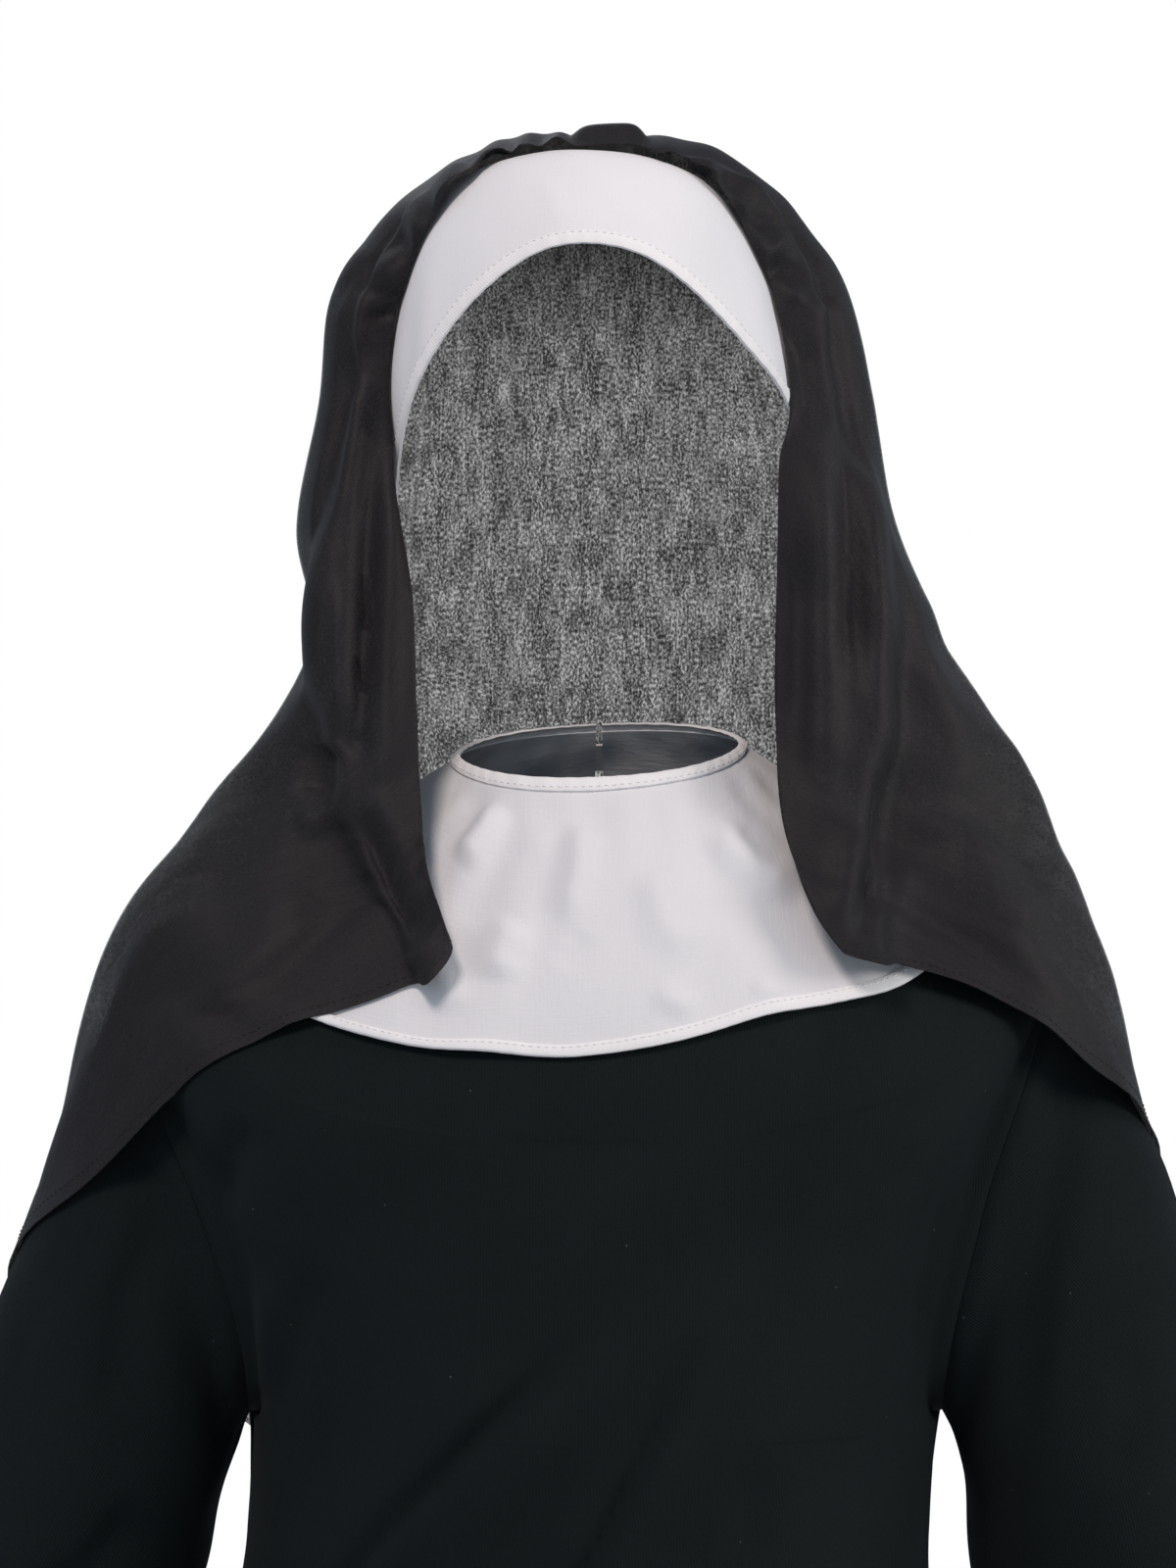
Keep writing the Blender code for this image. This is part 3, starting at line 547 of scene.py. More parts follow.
SLEEVE_FRONT_CREASES = {
    "sleeve_left": (
        (((-163, -150), (-176, -192), (-180, -240)), 7.2, 10.8, -3.1),
        (((-205, -170), (-216, -215), (-214, -262)), 9.6, 9.6, -2),
        (((-166, -262), (-188, -290), (-214, -300)), 7.2, 12, -3.4),
        (((-190, -345), (-214, -362), (-246, -360)), 7.2, 10.8, -4.8),
        (((-214, -392), (-238, -402), (-268, -392)), 7.2, 12, -5.1),
        (((-232, -470), (-252, -500), (-262, -545)), 9.6, 12, -3.7),
    ),
    "sleeve_right": (
        (((180, -100), (172, -135), (162, -182), (155, -235), (152, -283)), 8.4, 7.2, -3.7),
        (((150, -130), (142, -165), (138, -205)), 6, 8.4, 2.7),
        (((202, -205), (194, -235), (188, -262)), 8.4, 9.6, -2.4),
        (((160, -300), (186, -318), (214, -314)), 7.2, 12, -3.7),
        (((170, -352), (198, -366), (232, -358)), 7.2, 10.8, -4.8),
        (((188, -400), (214, -412), (246, -402)), 7.2, 12, -4.8),
        (((212, -470), (232, -505), (240, -548)), 9.6, 12, -3.7),
    ),
}
SLEEVE_BACK_CREASES = {
    "sleeve_left": (
        (((-172, -140), (-186, -190), (-190, -240)), 8.4, 12, -3.2),
        (((-216, -310), (-232, -370), (-238, -430)), 9.6, 12, -3.5),
        (((-262, -420), (-270, -480), (-274, -530)), 9.6, 10.8, -3.2),
    ),
    "sleeve_right": (
        (((176, -140), (180, -195), (176, -250)), 8.4, 12, -3.2),
        (((204, -300), (216, -360), (218, -425)), 9.6, 12, -3.5),
        (((240, -430), (250, -485), (256, -535)), 9.6, 10.8, -3.2),
    ),
}
SLEEVE_RINGS = 100
CAP_RINGS = 40
SLEEVE_COLUMNS = 144
CUFF_HEM = 0.018
SLEEVE_PULL_FROM_SEAM = 0.012
SLEEVE_REST = (0.001, 0.016)  # the sleeve's folds rise between these distances from its seam
SLEEVE_WAVES = (0.0008, 0.070)


def sleeve_grid(arm_rows, side, cap_outward, around):
    """Rings of one sleeve from armhole to cuff. Around is 0 at the top of the armhole."""
    armhole = form_point(side * (math.pi / 2 - ARMHOLE_HALF_ANGLE * np.sin(around)), CHEST + np.cos(around))
    centre = armhole.mean(axis=0)
    inward = unit(centre - armhole)
    armhole = armhole + inward * (SEAM_GAP + TUNIC_WALL) + np.array([side * SEAM_GAP, 0, 0])
    path = arm_rows[:, :3]
    heading = unit(np.gradient(path, axis=0))
    outward = unit(np.cross(heading, np.array([0, side, 0])))
    wide = arm_rows[:, None, 3:4] * outward[:, None] * np.cos(around)[None, :, None]
    deep = arm_rows[:, None, 4:5] * np.array([0, -1, 0]) * np.sin(around)[None, :, None]
    rings = path[:, None] + wide + deep
    top = ((1 + np.cos(around)) / 2)[:, None]
    flank = (np.sin(around) ** 2)[:, None]
    leave_x = side * (CAP_UNDERARM + cap_outward * top + CAP_FLANK * flank)
    leave_z = -CAP_DOWNWARD * (1 - CAP_TOP_SHARE * top)
    leave = np.concatenate([leave_x, 0 * top, leave_z], axis=1)
    arrive = np.linalg.norm(rings[0] - armhole, axis=1, keepdims=True) * heading[0]
    shares = np.linspace(0, 1, CAP_RINGS)[:-1]
    cap = [curve_between(armhole, leave, rings[0], arrive, share) for share in shares]
    return np.concatenate([np.array(cap), through(rings, np.linspace(0, len(rings) - 1, SLEEVE_RINGS))])


sleeves = {}
for sleeve_name, side, seed in (("sleeve_left", -1, 21), ("sleeve_right", 1, 22)):
    around = np.linspace(0, math.tau, SLEEVE_COLUMNS, endpoint=False) * side
    middle = sleeve_grid(ARM_ROWS[sleeve_name], side, CAP_OUTWARD[sleeve_name], around)
    normals = grid_normals(middle, closed=True)
    normals *= np.sign(np.sum(normals * (middle - middle.mean(axis=1, keepdims=True))))
    across, down = cloth_lengths(middle, closed=True)
    ahead = ease(-normals[..., 1], 0.05, 0.45)
    behind = ease(normals[..., 1], 0.05, 0.45)
    height = crease_height(middle, SLEEVE_FRONT_CREASES[sleeve_name]) * ahead
    height += crease_height(middle, SLEEVE_BACK_CREASES[sleeve_name]) * behind
    height += slow_waves(middle[..., 0] - middle[..., 1], middle[..., 2], seed, *SLEEVE_WAVES)
    from_seam = down[:, :-1]
    height -= ARMHOLE_PULL * hump(from_seam - SLEEVE_PULL_FROM_SEAM, ARMHOLE_PULL_HALF) * ahead
    height *= ease(from_seam, *SLEEVE_REST)
    height = sewn_edges(height, from_seam[-1:] - from_seam, CUFF_HEM, HEM_SWELL)
    middle = middle + normals * height[..., None]
    sleeves[sleeve_name] = cloth(
        sleeve_name + "_cloth", sleeve_name,
        middle, normals, TUNIC_WALL, tunic_jersey, closed=True)


# ================================================================ stitching of the tunic
# The hem and the cuffs are turned up and stitched with two rows of black thread. Each stitch is a short
# grain of thread that rises out of the jersey and sinks back into it.
TUNIC_THREAD = (0.010, 0.012, 0.013)
THREAD_HALF = 0.00022
STITCH_ROWS = (0.000, 0.006)  # inside the turned edge
TUNIC_STITCH = (0.0032, 0.0024)  # from one stitch to the next, and its length
THREAD_TWIST = 1800  # turns and specks in a metre
STITCH_RISE = 0.45  # of the thread's half width, above the cloth
STITCH_WANDER = 0.03  # of the pitch, the hand's unevenness
STITCH_SPANS = (-0.5, -0.25, 0.25, 0.5)  # a stitch's ends and shoulders, as shares of its length


def thread_finish(name, colour):
    """Cotton sewing thread: slightly glossy, with a fine twist."""
    finish = Finish(name, {"Roughness": 0.55, "Specular IOR Level": 0.35})
    where = finish.step("TexCoord", {}, "Object")
    twist = finish.noise(finish.step("Mapping", {"Vector": where, "Scale": (THREAD_TWIST,) * 3}, "Vector"), 1)
    finish.relief(twist, 0.0002, 0.4)
    return finish.coloured(finish.shades(twist, colour, 0.8, 1.15))


def at_distance(distance, reach, values):
    """Rows of values read at a distance along the path that they follow."""
    return np.array([np.interp(distance, reach, values[:, axis]) for axis in range(3)])


def stitches(name, paths, pitch, length, material, slot, seed):
    """One mesh of short grains of thread along each path of (points, normals) on a cloth's outer skin."""
    draw = np.random.default_rng(seed)
    points, faces = [], []
    for line, upward in paths:
        reach = np.concatenate([[0], np.cumsum(np.linalg.norm(np.diff(line, axis=0), axis=1))])
        count = int(reach[-1] / pitch)
        for k in range(count):
            middle_at = (k + 0.5) * reach[-1] / count + draw.normal(0, STITCH_WANDER) * pitch
            spot = [at_distance(middle_at + span * length, reach, line) for span in STITCH_SPANS]
            up = unit(at_distance(middle_at, reach, upward))
            across = np.cross(unit(spot[-1] - spot[0]), up)
            first = len(points)
            points.append(spot[0] - up * THREAD_HALF)
            for centre in spot[1:3]:
                centre = centre + up * THREAD_HALF * STITCH_RISE
                for sideways, upwards in ((1, 0), (0, 1), (-1, 0), (0, -1)):
                    points.append(centre + (across * sideways + up * upwards) * THREAD_HALF)
            points.append(spot[3] - up * THREAD_HALF)
            for j in range(4):
                a, b = first + 1 + j, first + 1 + (j + 1) % 4
                faces += [(first, b, a), (a, b, b + 4, a + 4), (first + 9, a + 4, b + 4)]
    mesh = bpy.data.meshes.new(name)
    mesh.from_pydata([tuple(p) for p in points], [], faces)
    mesh.shade_smooth()
    return placed(name, mesh, material)


def skin_line(name, row=None, column=None, closed=False):
    """A line on the outer skin of a cloth, along one of its rows or columns."""
    places, directions = skins[name]
    line = (places[row], directions[row]) if row is not None else (places[:, column], directions[:, column])
    if closed:
        line = tuple(np.concatenate([part, part[:1]]) for part in line)
    return line


def row_at(name, distance):
    """The row of a cloth that lies nearest to a distance up from its last row."""
    places = skins[name][0]
    down = np.concatenate([[0], np.cumsum(np.linalg.norm(np.diff(places, axis=0), axis=2).mean(axis=1))])
    return int(np.abs(down[-1] - down - distance).argmin())


tunic_thread = thread_finish("tunic_thread", TUNIC_THREAD)
for panel_name, panel in tunic_panels.items():
    made = panel_name + "_cloth"
    paths = [skin_line(made, row=row_at(made, HEM_DEPTH - inset)) for inset in STITCH_ROWS]
    thread = stitches(panel_name + "_hem_stitches", paths, *TUNIC_STITCH, tunic_thread, "tunic_cloth", 31)
for sleeve_name, sleeve in sleeves.items():
    made = sleeve_name + "_cloth"
    paths = [skin_line(made, row=row_at(made, CUFF_HEM - inset), closed=True) for inset in STITCH_ROWS]
    thread = stitches(sleeve_name + "_cuff_stitches", paths, *TUNIC_STITCH, tunic_thread, "tunic_cloth", 32)


# ================================================================ bib
# A round collar of white cotton that lies on the shoulders of the tunic. It is slit at centre back, and its
# neck edge and its hem are bound in folded white tape, stitched down along its inner side.
BIB_WALL = 0.0006
BINDING_WALL = 0.0011
BIB_OVER_TUNIC = 0.0026
NECK_BINDING_WIDTH = 0.0065
HEM_BINDING_WIDTH = 0.0050
TAPE_SWELL = 0.00055
TAPE_STITCH = (0.0029, 0.0021)
BIB_SLIT_ANGLE = math.radians(0.7)
BIB_TILT = 0.20
BIB_DIP = (0.14, math.radians(58), math.radians(24))
BIB_HEM_WAVES = (
    # angle_deg, half_width_deg, rows up
    (24, 19, 0.105),
    (-14, 6, 0.030),
    (-3, 4, -0.012),
)
BIB_COLUMNS = 300
BIB_ROWS = 80
TAPE_ROWS = 9
BIB_LAP = 0.0012  # the bib's raw edges lie this far inside the tape
TAPE_BITE = 0.0002  # and the tape this far into the cloth that it is sewn on
PUCKER_HEIGHT, PUCKER_LENGTH, PUCKER_DRIFT = 0.00012, 0.0078, 0.051
BIB_WAVES = (0.0006, 0.045)
BIB_WHITE = (0.745, 0.732, 0.742)
BAND_WHITE = (0.800, 0.785, 0.790)
TAPE_WHITE = (0.865, 0.842, 0.834)
BIB_CREASES = (
    (((-13, -6), (-14.7, -28), (-19.7, -47), (-24.6, -65), (-32.3, -84)), 3.9, 6.6, -1.4),
    (((-6, -12), (-9, -34), (-14, -54)), 5.5, 5.5, 2.5),
    (((-42.2, -2), (-47.9, -13), (-62.1, -25)), 4.4, 7.7, -1.7),
    (((-36, -8), (-42, -20), (-52, -32)), 5.5, 5.5, 3.9),
    (((-20.8, -22), (-33.6, -33), (-44, -45), (-47.5, -57)), 7.7, 9.9, -1.7),
    (((-30, -50), (-36, -62), (-38, -74)), 6.6, 6.6, 3.2),
    (((30.3, -6), (35.5, -27), (42.9, -43), (59.7, -48), (74.8, -57), (90, -66)), 6.6, 8.8, -1.7),
    (((40, -12), (47, -26), (60, -36), (74, -44)), 6.6, 6.6, 4.6),
    (((18, -30), (24, -52), (36, -66)), 7.7, 8.8, 2.9),
    (((-4.3, -55), (-15.7, -68)), 4.4, 5.5, -1.1),
    (((19, -76.5), (27, -80), (34.5, -84.5)), 4.4, 4.4, 2.1),
    (((54, -73), (60, -76), (66, -79)), 4.4, 4.4, 1.8),
    (((-62, -60), (-56, -72), (-53, -86)), 6.6, 6.6, 2.9),
)
BIB_BACK_CREASES = (
    (((30, 10), (46, -6), (70, -22)), 6, 7, -1.2),
    (((-28, 6), (-50, -10), (-66, -30)), 6, 7, -1.3),
    (((12, -4), (18, -28), (20, -52)), 5, 7, 1.8),
    (((-16, -10), (-22, -30), (-34, -48)), 5, 6, 1.6),
)
BIB_SINK = 0.0012  # no trough of the bib is deeper, so the tunic stays under it
THREAD_PITCH = 0.00042  # plain weave, one thread to the next
TAPE_RIB = 0.0011


def cotton(name, colour, ribbed=False):
    """Plain white cotton: matt, with an even weave, a few thick threads and the soft crumple of wear."""
    finish = Finish(name, {
        "Roughness": 0.86, "Specular IOR Level": 0.25, "Sheen Weight": 0.12, "Sheen Roughness": 0.5})
    across, down = finish.across_and_down()
    weave = finish.times(finish.wave(across, 2 * THREAD_PITCH), finish.wave(down, 2 * THREAD_PITCH))
    slubs = finish.plus(finish.noise(finish.flat(1100, 60)), finish.noise(finish.flat(60, 1100)))
    crumple = finish.noise(finish.flat(120, 120), 4, 0.6)
    relief = finish.plus(finish.plus(finish.times(weave, 0.10), slubs), finish.times(crumple, 2.2))
    if ribbed:
        diagonal = finish.plus(across, finish.times(down, 0.8))
        relief = finish.plus(relief, finish.times(finish.wave(diagonal, TAPE_RIB), 0.35))
    finish.relief(relief, 0.0004, 0.30)
    broad = finish.noise(finish.flat(22, 22), 3)
    shade = finish.plus(finish.times(broad, 0.6), finish.times(slubs, 0.22))
    return finish.coloured(finish.shades(shade, colour, 0.955, 1.03))


bib_cotton = cotton("bib_cotton", BIB_WHITE)
band_cotton = cotton("band_cotton", BAND_WHITE)
white_tape = cotton("white_tape", TAPE_WHITE, ribbed=True)
white_thread = thread_finish("white_thread", (0.86, 0.84, 0.83))


def bib_grid(start, end, row_count):
    """Points and normals on the form between two shares of the bib's depth, counted from its neck edge."""
    angle = np.linspace(-math.pi + BIB_SLIT_ANGLE, math.pi - BIB_SLIT_ANGLE, BIB_COLUMNS + 1)[None, :]
    share = np.linspace(start, end, row_count)[:, None]
    dip, dip_angle, dip_half = BIB_DIP
    hem_row = BIB_HEM + BIB_TILT * np.sin(angle) - dip * hump(angle - dip_angle, dip_half)
    for wave_deg, half_deg, rows_up in BIB_HEM_WAVES:
        hem_row += rows_up * hump(angle - math.radians(wave_deg), math.radians(half_deg))
    row = NECK_BASE + (hem_row - NECK_BASE) * share
    angle = angle + 0 * row
    share = share + 0 * row
    normals = form_normal(angle, row)
    points = form_point(angle, row)
    ahead = ease(-normals[..., 1], -0.05, 0.30)
    height = crease_height(points, BIB_CREASES) * ahead
    height += crease_height(points, BIB_BACK_CREASES) * (1 - ahead)
    height = BIB_OVER_TUNIC + np.where(height < 0, -BIB_SINK * np.tanh(-height / BIB_SINK), height)
    height += slow_waves(angle * 0.12, share * 0.10, 41, *BIB_WAVES) * ease(share, 0.02, 0.20)
    return points + normals * height[..., None], normals, share


def rolled(points, normals, share_across, width, swell):
    """Rounds a narrow tape across its width and puckers it a little along its stitching."""
    across = (share_across - share_across.min()) / (share_across.max() - share_across.min())
    run, _ = cloth_lengths(points)
    drift = 2.2 * np.sin(run * math.tau / PUCKER_DRIFT)
    puckers = PUCKER_HEIGHT * np.sin(run * math.tau / PUCKER_LENGTH + drift)
    return points + normals * (swell * (4 * across * (1 - across)) ** 0.6 + puckers)[..., None]


bib_front = form_point(np.zeros(9), np.linspace(NECK_BASE, BIB_HEM, 9))
bib_depth = np.linalg.norm(np.diff(bib_front, axis=0), axis=1).sum()
neck_share = NECK_BINDING_WIDTH / bib_depth
hem_share = HEM_BINDING_WIDTH / bib_depth
lap_share = BIB_LAP / bib_depth

middle, normals, _ = bib_grid(neck_share - lap_share, 1 - hem_share + lap_share, BIB_ROWS)
bib = cloth("bib_cloth", "bib", middle, normals, BIB_WALL, bib_cotton)
for tape_name, start, end, stitched_row, seed in (
    # name, from and to as shares of the depth, row that is stitched down, seed
    ("neck", 0, neck_share, 6, 42),
    ("hem", 1 - hem_share, 1, 2, 43),
):
    middle, normals, share = bib_grid(start, end, TAPE_ROWS)
    middle = rolled(middle, normals, share, end - start, TAPE_SWELL)
    middle = middle + normals * (BIB_WALL / 2 + BINDING_WALL / 2 - TAPE_BITE)
    binding = f"bib_{tape_name}_binding"
    cloth(binding + "_tape", binding, middle, normals, BINDING_WALL, white_tape)
    paths = [skin_line(binding + "_tape", row=stitched_row)]
    stitches(f"bib_{tape_name}_stitches", paths, *TAPE_STITCH, white_thread, "white_tape", seed)

# Closing tab: a short strip of hook tape across the slit at the back, just under the neck binding.
TAB_HALF_ANGLE = 0.24
TAB_LENGTH_STEPS, TAB_WIDTH_STEPS = 33, 17
TAB_ROWS = (10.62, 10.25)
TAB_WALL = 0.0010
TAB_STITCH = (0.0026, 0.0019)
TAB_LIFT = BIB_OVER_TUNIC + 0.0032
tab_angle = math.pi + np.linspace(-TAB_HALF_ANGLE, TAB_HALF_ANGLE, TAB_LENGTH_STEPS)[None, :]
tab_row = np.linspace(*TAB_ROWS, TAB_WIDTH_STEPS)[:, None] + 0 * tab_angle
tab_angle = tab_angle + 0 * tab_row
normals = form_normal(tab_angle, tab_row)
middle = form_point(tab_angle, tab_row) + normals * TAB_LIFT
tab = cloth("bib_closure_tab", "bib_closure", middle, normals, TAB_WALL, white_tape)
tab_paths = [skin_line("bib_closure_tab", row=row) for row in (2, -3)]
tab_paths += [skin_line("bib_closure_tab", column=column) for column in (2, -3)]
tab_thread = stitches("bib_closure_stitches", tab_paths, *TAB_STITCH, white_thread, "white_tape", 44)


# ================================================================ brow band
# A shaped band of white cotton over the brow, rounded like the head under it. Its lower edge is faced with
# tape and stitched, and its ends and its upper edge are caught into the veil.
BAND_WALL = 0.0010
EDGING_WIDTH = 0.0050
BAND_ROWS = MM * np.array([
    # lower edge x, y, z, upper edge x, y, z, mm
    (-77, 20, 85, -80, 45, 115),
    (-75, -14, 121, -77, 30, 150),
    (-66, -47, 150.5, -74, 12, 187),
    (-47.5, -66, 176, -65.5, -10, 212.5),
    (-26, -74, 192.5, -41, -28, 230.5),
    (-7.5, -77, 197.2, -4.4, -34, 235.5),
    (13.5, -77, 193.7, 32.5, -28, 228.5),
    (31.5, -73, 182.5, 55, -10, 210),
    (53, -60, 161.5, 65.5, 10, 188),
    (69.5, -35, 141, 72, 28, 158),
    (75, 12, 105, 77, 45, 125),
])
BAND_BULGE = 0.006
EDGING_SWELL = 0.0004
EDGING_LIFT = 0.0003
BAND_MIDDLE_STATION = 5
BAND_WIDTH_ROWS = 60
BAND_LAP = 0.0008
BAND_WAVES = (0.0003, 0.040)
EDGING_STITCHED_ROW = 7
HEAD_CENTRE = (0.0, 0.02, 0.12)
BAND_CREASES = (
    (((-66, 205), (-69, 185), (-71.5, 160), (-74, 130)), 4, 5, -0.7),
    (((-60, 195), (-63, 175), (-66.5, 150)), 4, 4, 0.6),
    (((64, 185), (69, 160), (72.5, 135)), 4, 4, -0.6),
    (((-20, 226), (-17, 212), (-16, 203)), 5, 5, 0.4),
)


BAND_STATIONS = np.linspace(0, len(BAND_ROWS) - 1, 181)


def band_grid(start, end, row_count):
    """Points and normals across the band between two shares of its width, counted from its lower edge."""
    edges = through(BAND_ROWS, BAND_STATIONS)
    lower, upper = edges[None, :, :3], edges[None, :, 3:]
    share = np.linspace(start, end, row_count)[:, None, None]
    flat = lower + (upper - lower) * share
    points = flat + unit(flat - np.array(HEAD_CENTRE)) * BAND_BULGE * (4 * share * (1 - share))
    normals = grid_normals(points)
    normals *= np.sign(np.sum(normals * (points - np.array(HEAD_CENTRE))))
    return points, normals, share[..., 0] + np.zeros(flat.shape[:2])


band_middle = BAND_ROWS[BAND_MIDDLE_STATION]
band_width = np.linalg.norm(band_middle[3:] - band_middle[:3])
edging_share = EDGING_WIDTH / band_width
middle, normals, _ = band_grid(edging_share - BAND_LAP / band_width, 1, BAND_WIDTH_ROWS)
across, down = cloth_lengths(middle)
height = crease_height(middle, BAND_CREASES) + slow_waves(across, down, 51, *BAND_WAVES)
middle = middle + normals * height[..., None]
band = cloth("headband_cloth", "headband", middle, normals, BAND_WALL, band_cotton)
middle, normals, share = band_grid(0, edging_share, TAPE_ROWS)
middle = rolled(middle, normals, share, edging_share, EDGING_SWELL) + normals * EDGING_LIFT
edging = cloth(
    "headband_edging_tape", "headband_edging", middle, normals, BINDING_WALL, white_tape)
paths = [skin_line("headband_edging_tape", row=EDGING_STITCHED_ROW)]
edging_thread = stitches("headband_stitches", paths, *TAPE_STITCH, white_thread, "white_tape", 52)


# ================================================================ veil
# One wide panel of thin black voile, just sheer. It is gathered onto the band over the brow, hangs open
# down the front with its free edges turned under, and spreads over the shoulders to a narrow hem.
VEIL_WALL = 0.0005
VEIL_OVER_ALL = 0.0012
VEIL_BLACK = (0.0135, 0.0115, 0.0128)
VEIL_LEFT = MM * np.array([
    # edge x, y, z, fold x, y, z, side x, y, z, mm
    (-40, -34, 227.5, -36, -32, 231, -24, -34, 233.5),  # band seam, top
    (-56.5, -30, 215, -58, -18, 222, -54, 0, 229.3),
    (-67, -25, 202, -76, -13, 209.5, -80, 10, 216.5),
    (-74.5, -16, 180, -88, -17, 185, -100, 12, 190),
    (-77.5, -17, 147, -92, -22, 147, -106, 12, 145),
    (-77, -24, 110, -98, -30, 103, -115, 12, 96),  # end of the band
    (-70, -35, 70, -104, -37, 62, -108.5, 12, 58),
    (-68, -46, 27, -99, -46, 20, -123, 10, 26),
    (-66, -60, -8, -91, -56, -16, -150, 6, -10),
    (-63, -76, -33, -80, -70, -42, -184, 1, -56),
    (-58, -86, -50, -70, -84, -60, -201, -3, -112),
    (-53.5, -93, -62, -62, -97.5, -78, -217, -5, -174),  # hem
])
VEIL_RIGHT = MM * np.array([
    (34, -31, 229, 29, -32, 230.5, 17, -34, 234),  # band seam, top
    (48.5, -26.5, 217.5, 53, -16, 227, 50, 0, 234.5),
    (58.5, -22, 201.5, 70, -12, 211, 76, 10, 216),
    (64.5, -20, 180, 80, -17, 185, 93, 12, 190),
    (69, -33, 150, 86, -24, 150, 103, 12, 148),
    (66.5, -41, 115, 96, -34, 112, 109.5, 12, 105),  # end of the band
    (65.5, -45, 72, 105, -40, 70, 125, 12, 69),
    (65, -52, 20, 105, -50, 18, 153, 10, 23),
    (67, -62, -12, 103, -58, -14, 168.5, 6, -10),
    (73, -75, -34, 101, -68, -35, 185, 2, -45),
    (80, -83, -50, 100, -78, -52, 197, 0, -80),
    (88, -89, -61, 104, -86, -65.5, 208.5, -2, -127),  # hem
])
VEIL_BACK = MM * np.array([
    # x, y, z of the centre back, mm
    (-4, -35, 236.5),
    (-3, 5, 243.2),
    (-2, 48, 239.5),
    (0, 83, 217),
    (0, 102, 175),
    (0, 108, 120),
    (0, 108, 62),
    (0, 114, 5),
    (0, 124, -60),
    (0, 134, -140),
    (0, 142, -220),
    (0, 148, -300),
])
BAND_END_ROW = 5
TURN_UNDER = (0.014, 0.0065)
TURN_SHARE = 0.45
SEAM_LAP = 0.003
FOLD_LEDGE = (0.007, 0.013)
SEWN_LEDGE_SHARE = 0.2
FRONT_SHARE = (0.64, 0.38, 0.38)
REAR_SHARE = (0.32, 0.70, 0.66)
VEIL_BACK_FOLDS = (
    # across, half_width, depth, top_section
    (-0.86, 0.10, 0.007, 6.5),
    (-0.55, 0.11, 0.010, 5.8),
    (-0.24, 0.10, 0.008, 6.8),
    (0.08, 0.12, 0.011, 6.0),
    (0.41, 0.10, 0.008, 6.6),
    (0.72, 0.11, 0.010, 5.9),
)
BACK_FOLD_FULL = 9.5
GATHERS_LEFT = (
    # section, half_width, height
    (0.25, 0.22, 0.0020),
    (0.95, 0.28, 0.0030),
    (1.75, 0.30, 0.0035),
    (2.60, 0.35, 0.0040),
)
GATHERS_RIGHT = (
    (0.40, 0.25, 0.0030),
    (1.20, 0.30, 0.0040),
    (2.10, 0.35, 0.0035),
    (3.10, 0.40, 0.0035),
)
GATHER_PLACE = (1.4, 1.1)
TUFT_HEIGHT = 0.0080
TUFT_X = (0.003, 0.013)
TUFT_SECTION = (0.28, 0.22)

# Creases of the hanging folds, on the left and on the right of the face, and on the back.
VEIL_LEFT_CREASES = (
    (((-61, 215.6), (-75, 211.9), (-86.5, 202.4), (-96, 187), (-99, 174)), 4.4, 9, -2.7),
    (((-66.7, 208.3), (-77.4, 202.4), (-85.4, 194.3), (-88, 180)), 4.4, 7.6, -2.7),
    (((-70, 200), (-78, 193), (-83, 183)), 6, 6, 2.1),
    (((-83, 179), (-81, 173)), 6, 6, -2.4),
    (((-82.1, 170.4), (-91.6, 158.7), (-95, 135.4), (-98.5, 106.9), (-103.2, 88.3)), 4.5, 8.5, -4.2),
    (((-83, 162), (-90.5, 142), (-94.5, 112), (-98, 88)), 5.5, 5, 3.8),
    (((-81.5, 158.7), (-83, 130.6), (-86.8, 93), (-88.3, 50.7), (-89.4, 18), (-88, -6)), 4.5, 6.5, -4.9),
    (((-77.5, 148), (-77.2, 106), (-79, 60), (-80, 18), (-79, -18)), 6.5, 6, 4.3),
    (((-95, 80), (-95.5, 50), (-94.5, 15)), 5, 5, 3.5),
    (((-98, 19), (-90, 15), (-82, 16)), 3, 4, -1.7),
    (((-90, -6), (-83, -26), (-73, -50), (-62, -66.5)), 7, 12, -6.5),
    (((-85, 0), (-76, -22), (-69, -43), (-62, -56)), 5, 6, 3.5),
    (((-113, -17), (-100, -12), (-93, -11)), 4.4, 6, 2.5),
    (((-102, 16), (-104, 6), (-106, -6)), 7.6, 7.6, -3.9),
    (((-118, 20), (-132, -16), (-150, -56)), 9, 12, -3.8),
    (((-104, -34), (-126, -64), (-150, -90)), 10.6, 13.4, 4.2),
    (((-150, -30), (-172, -70), (-190, -120)), 10.6, 13.4, 3.1),
    (((-88, -52), (-108, -76), (-126, -96)), 9, 10.6, -3),
)
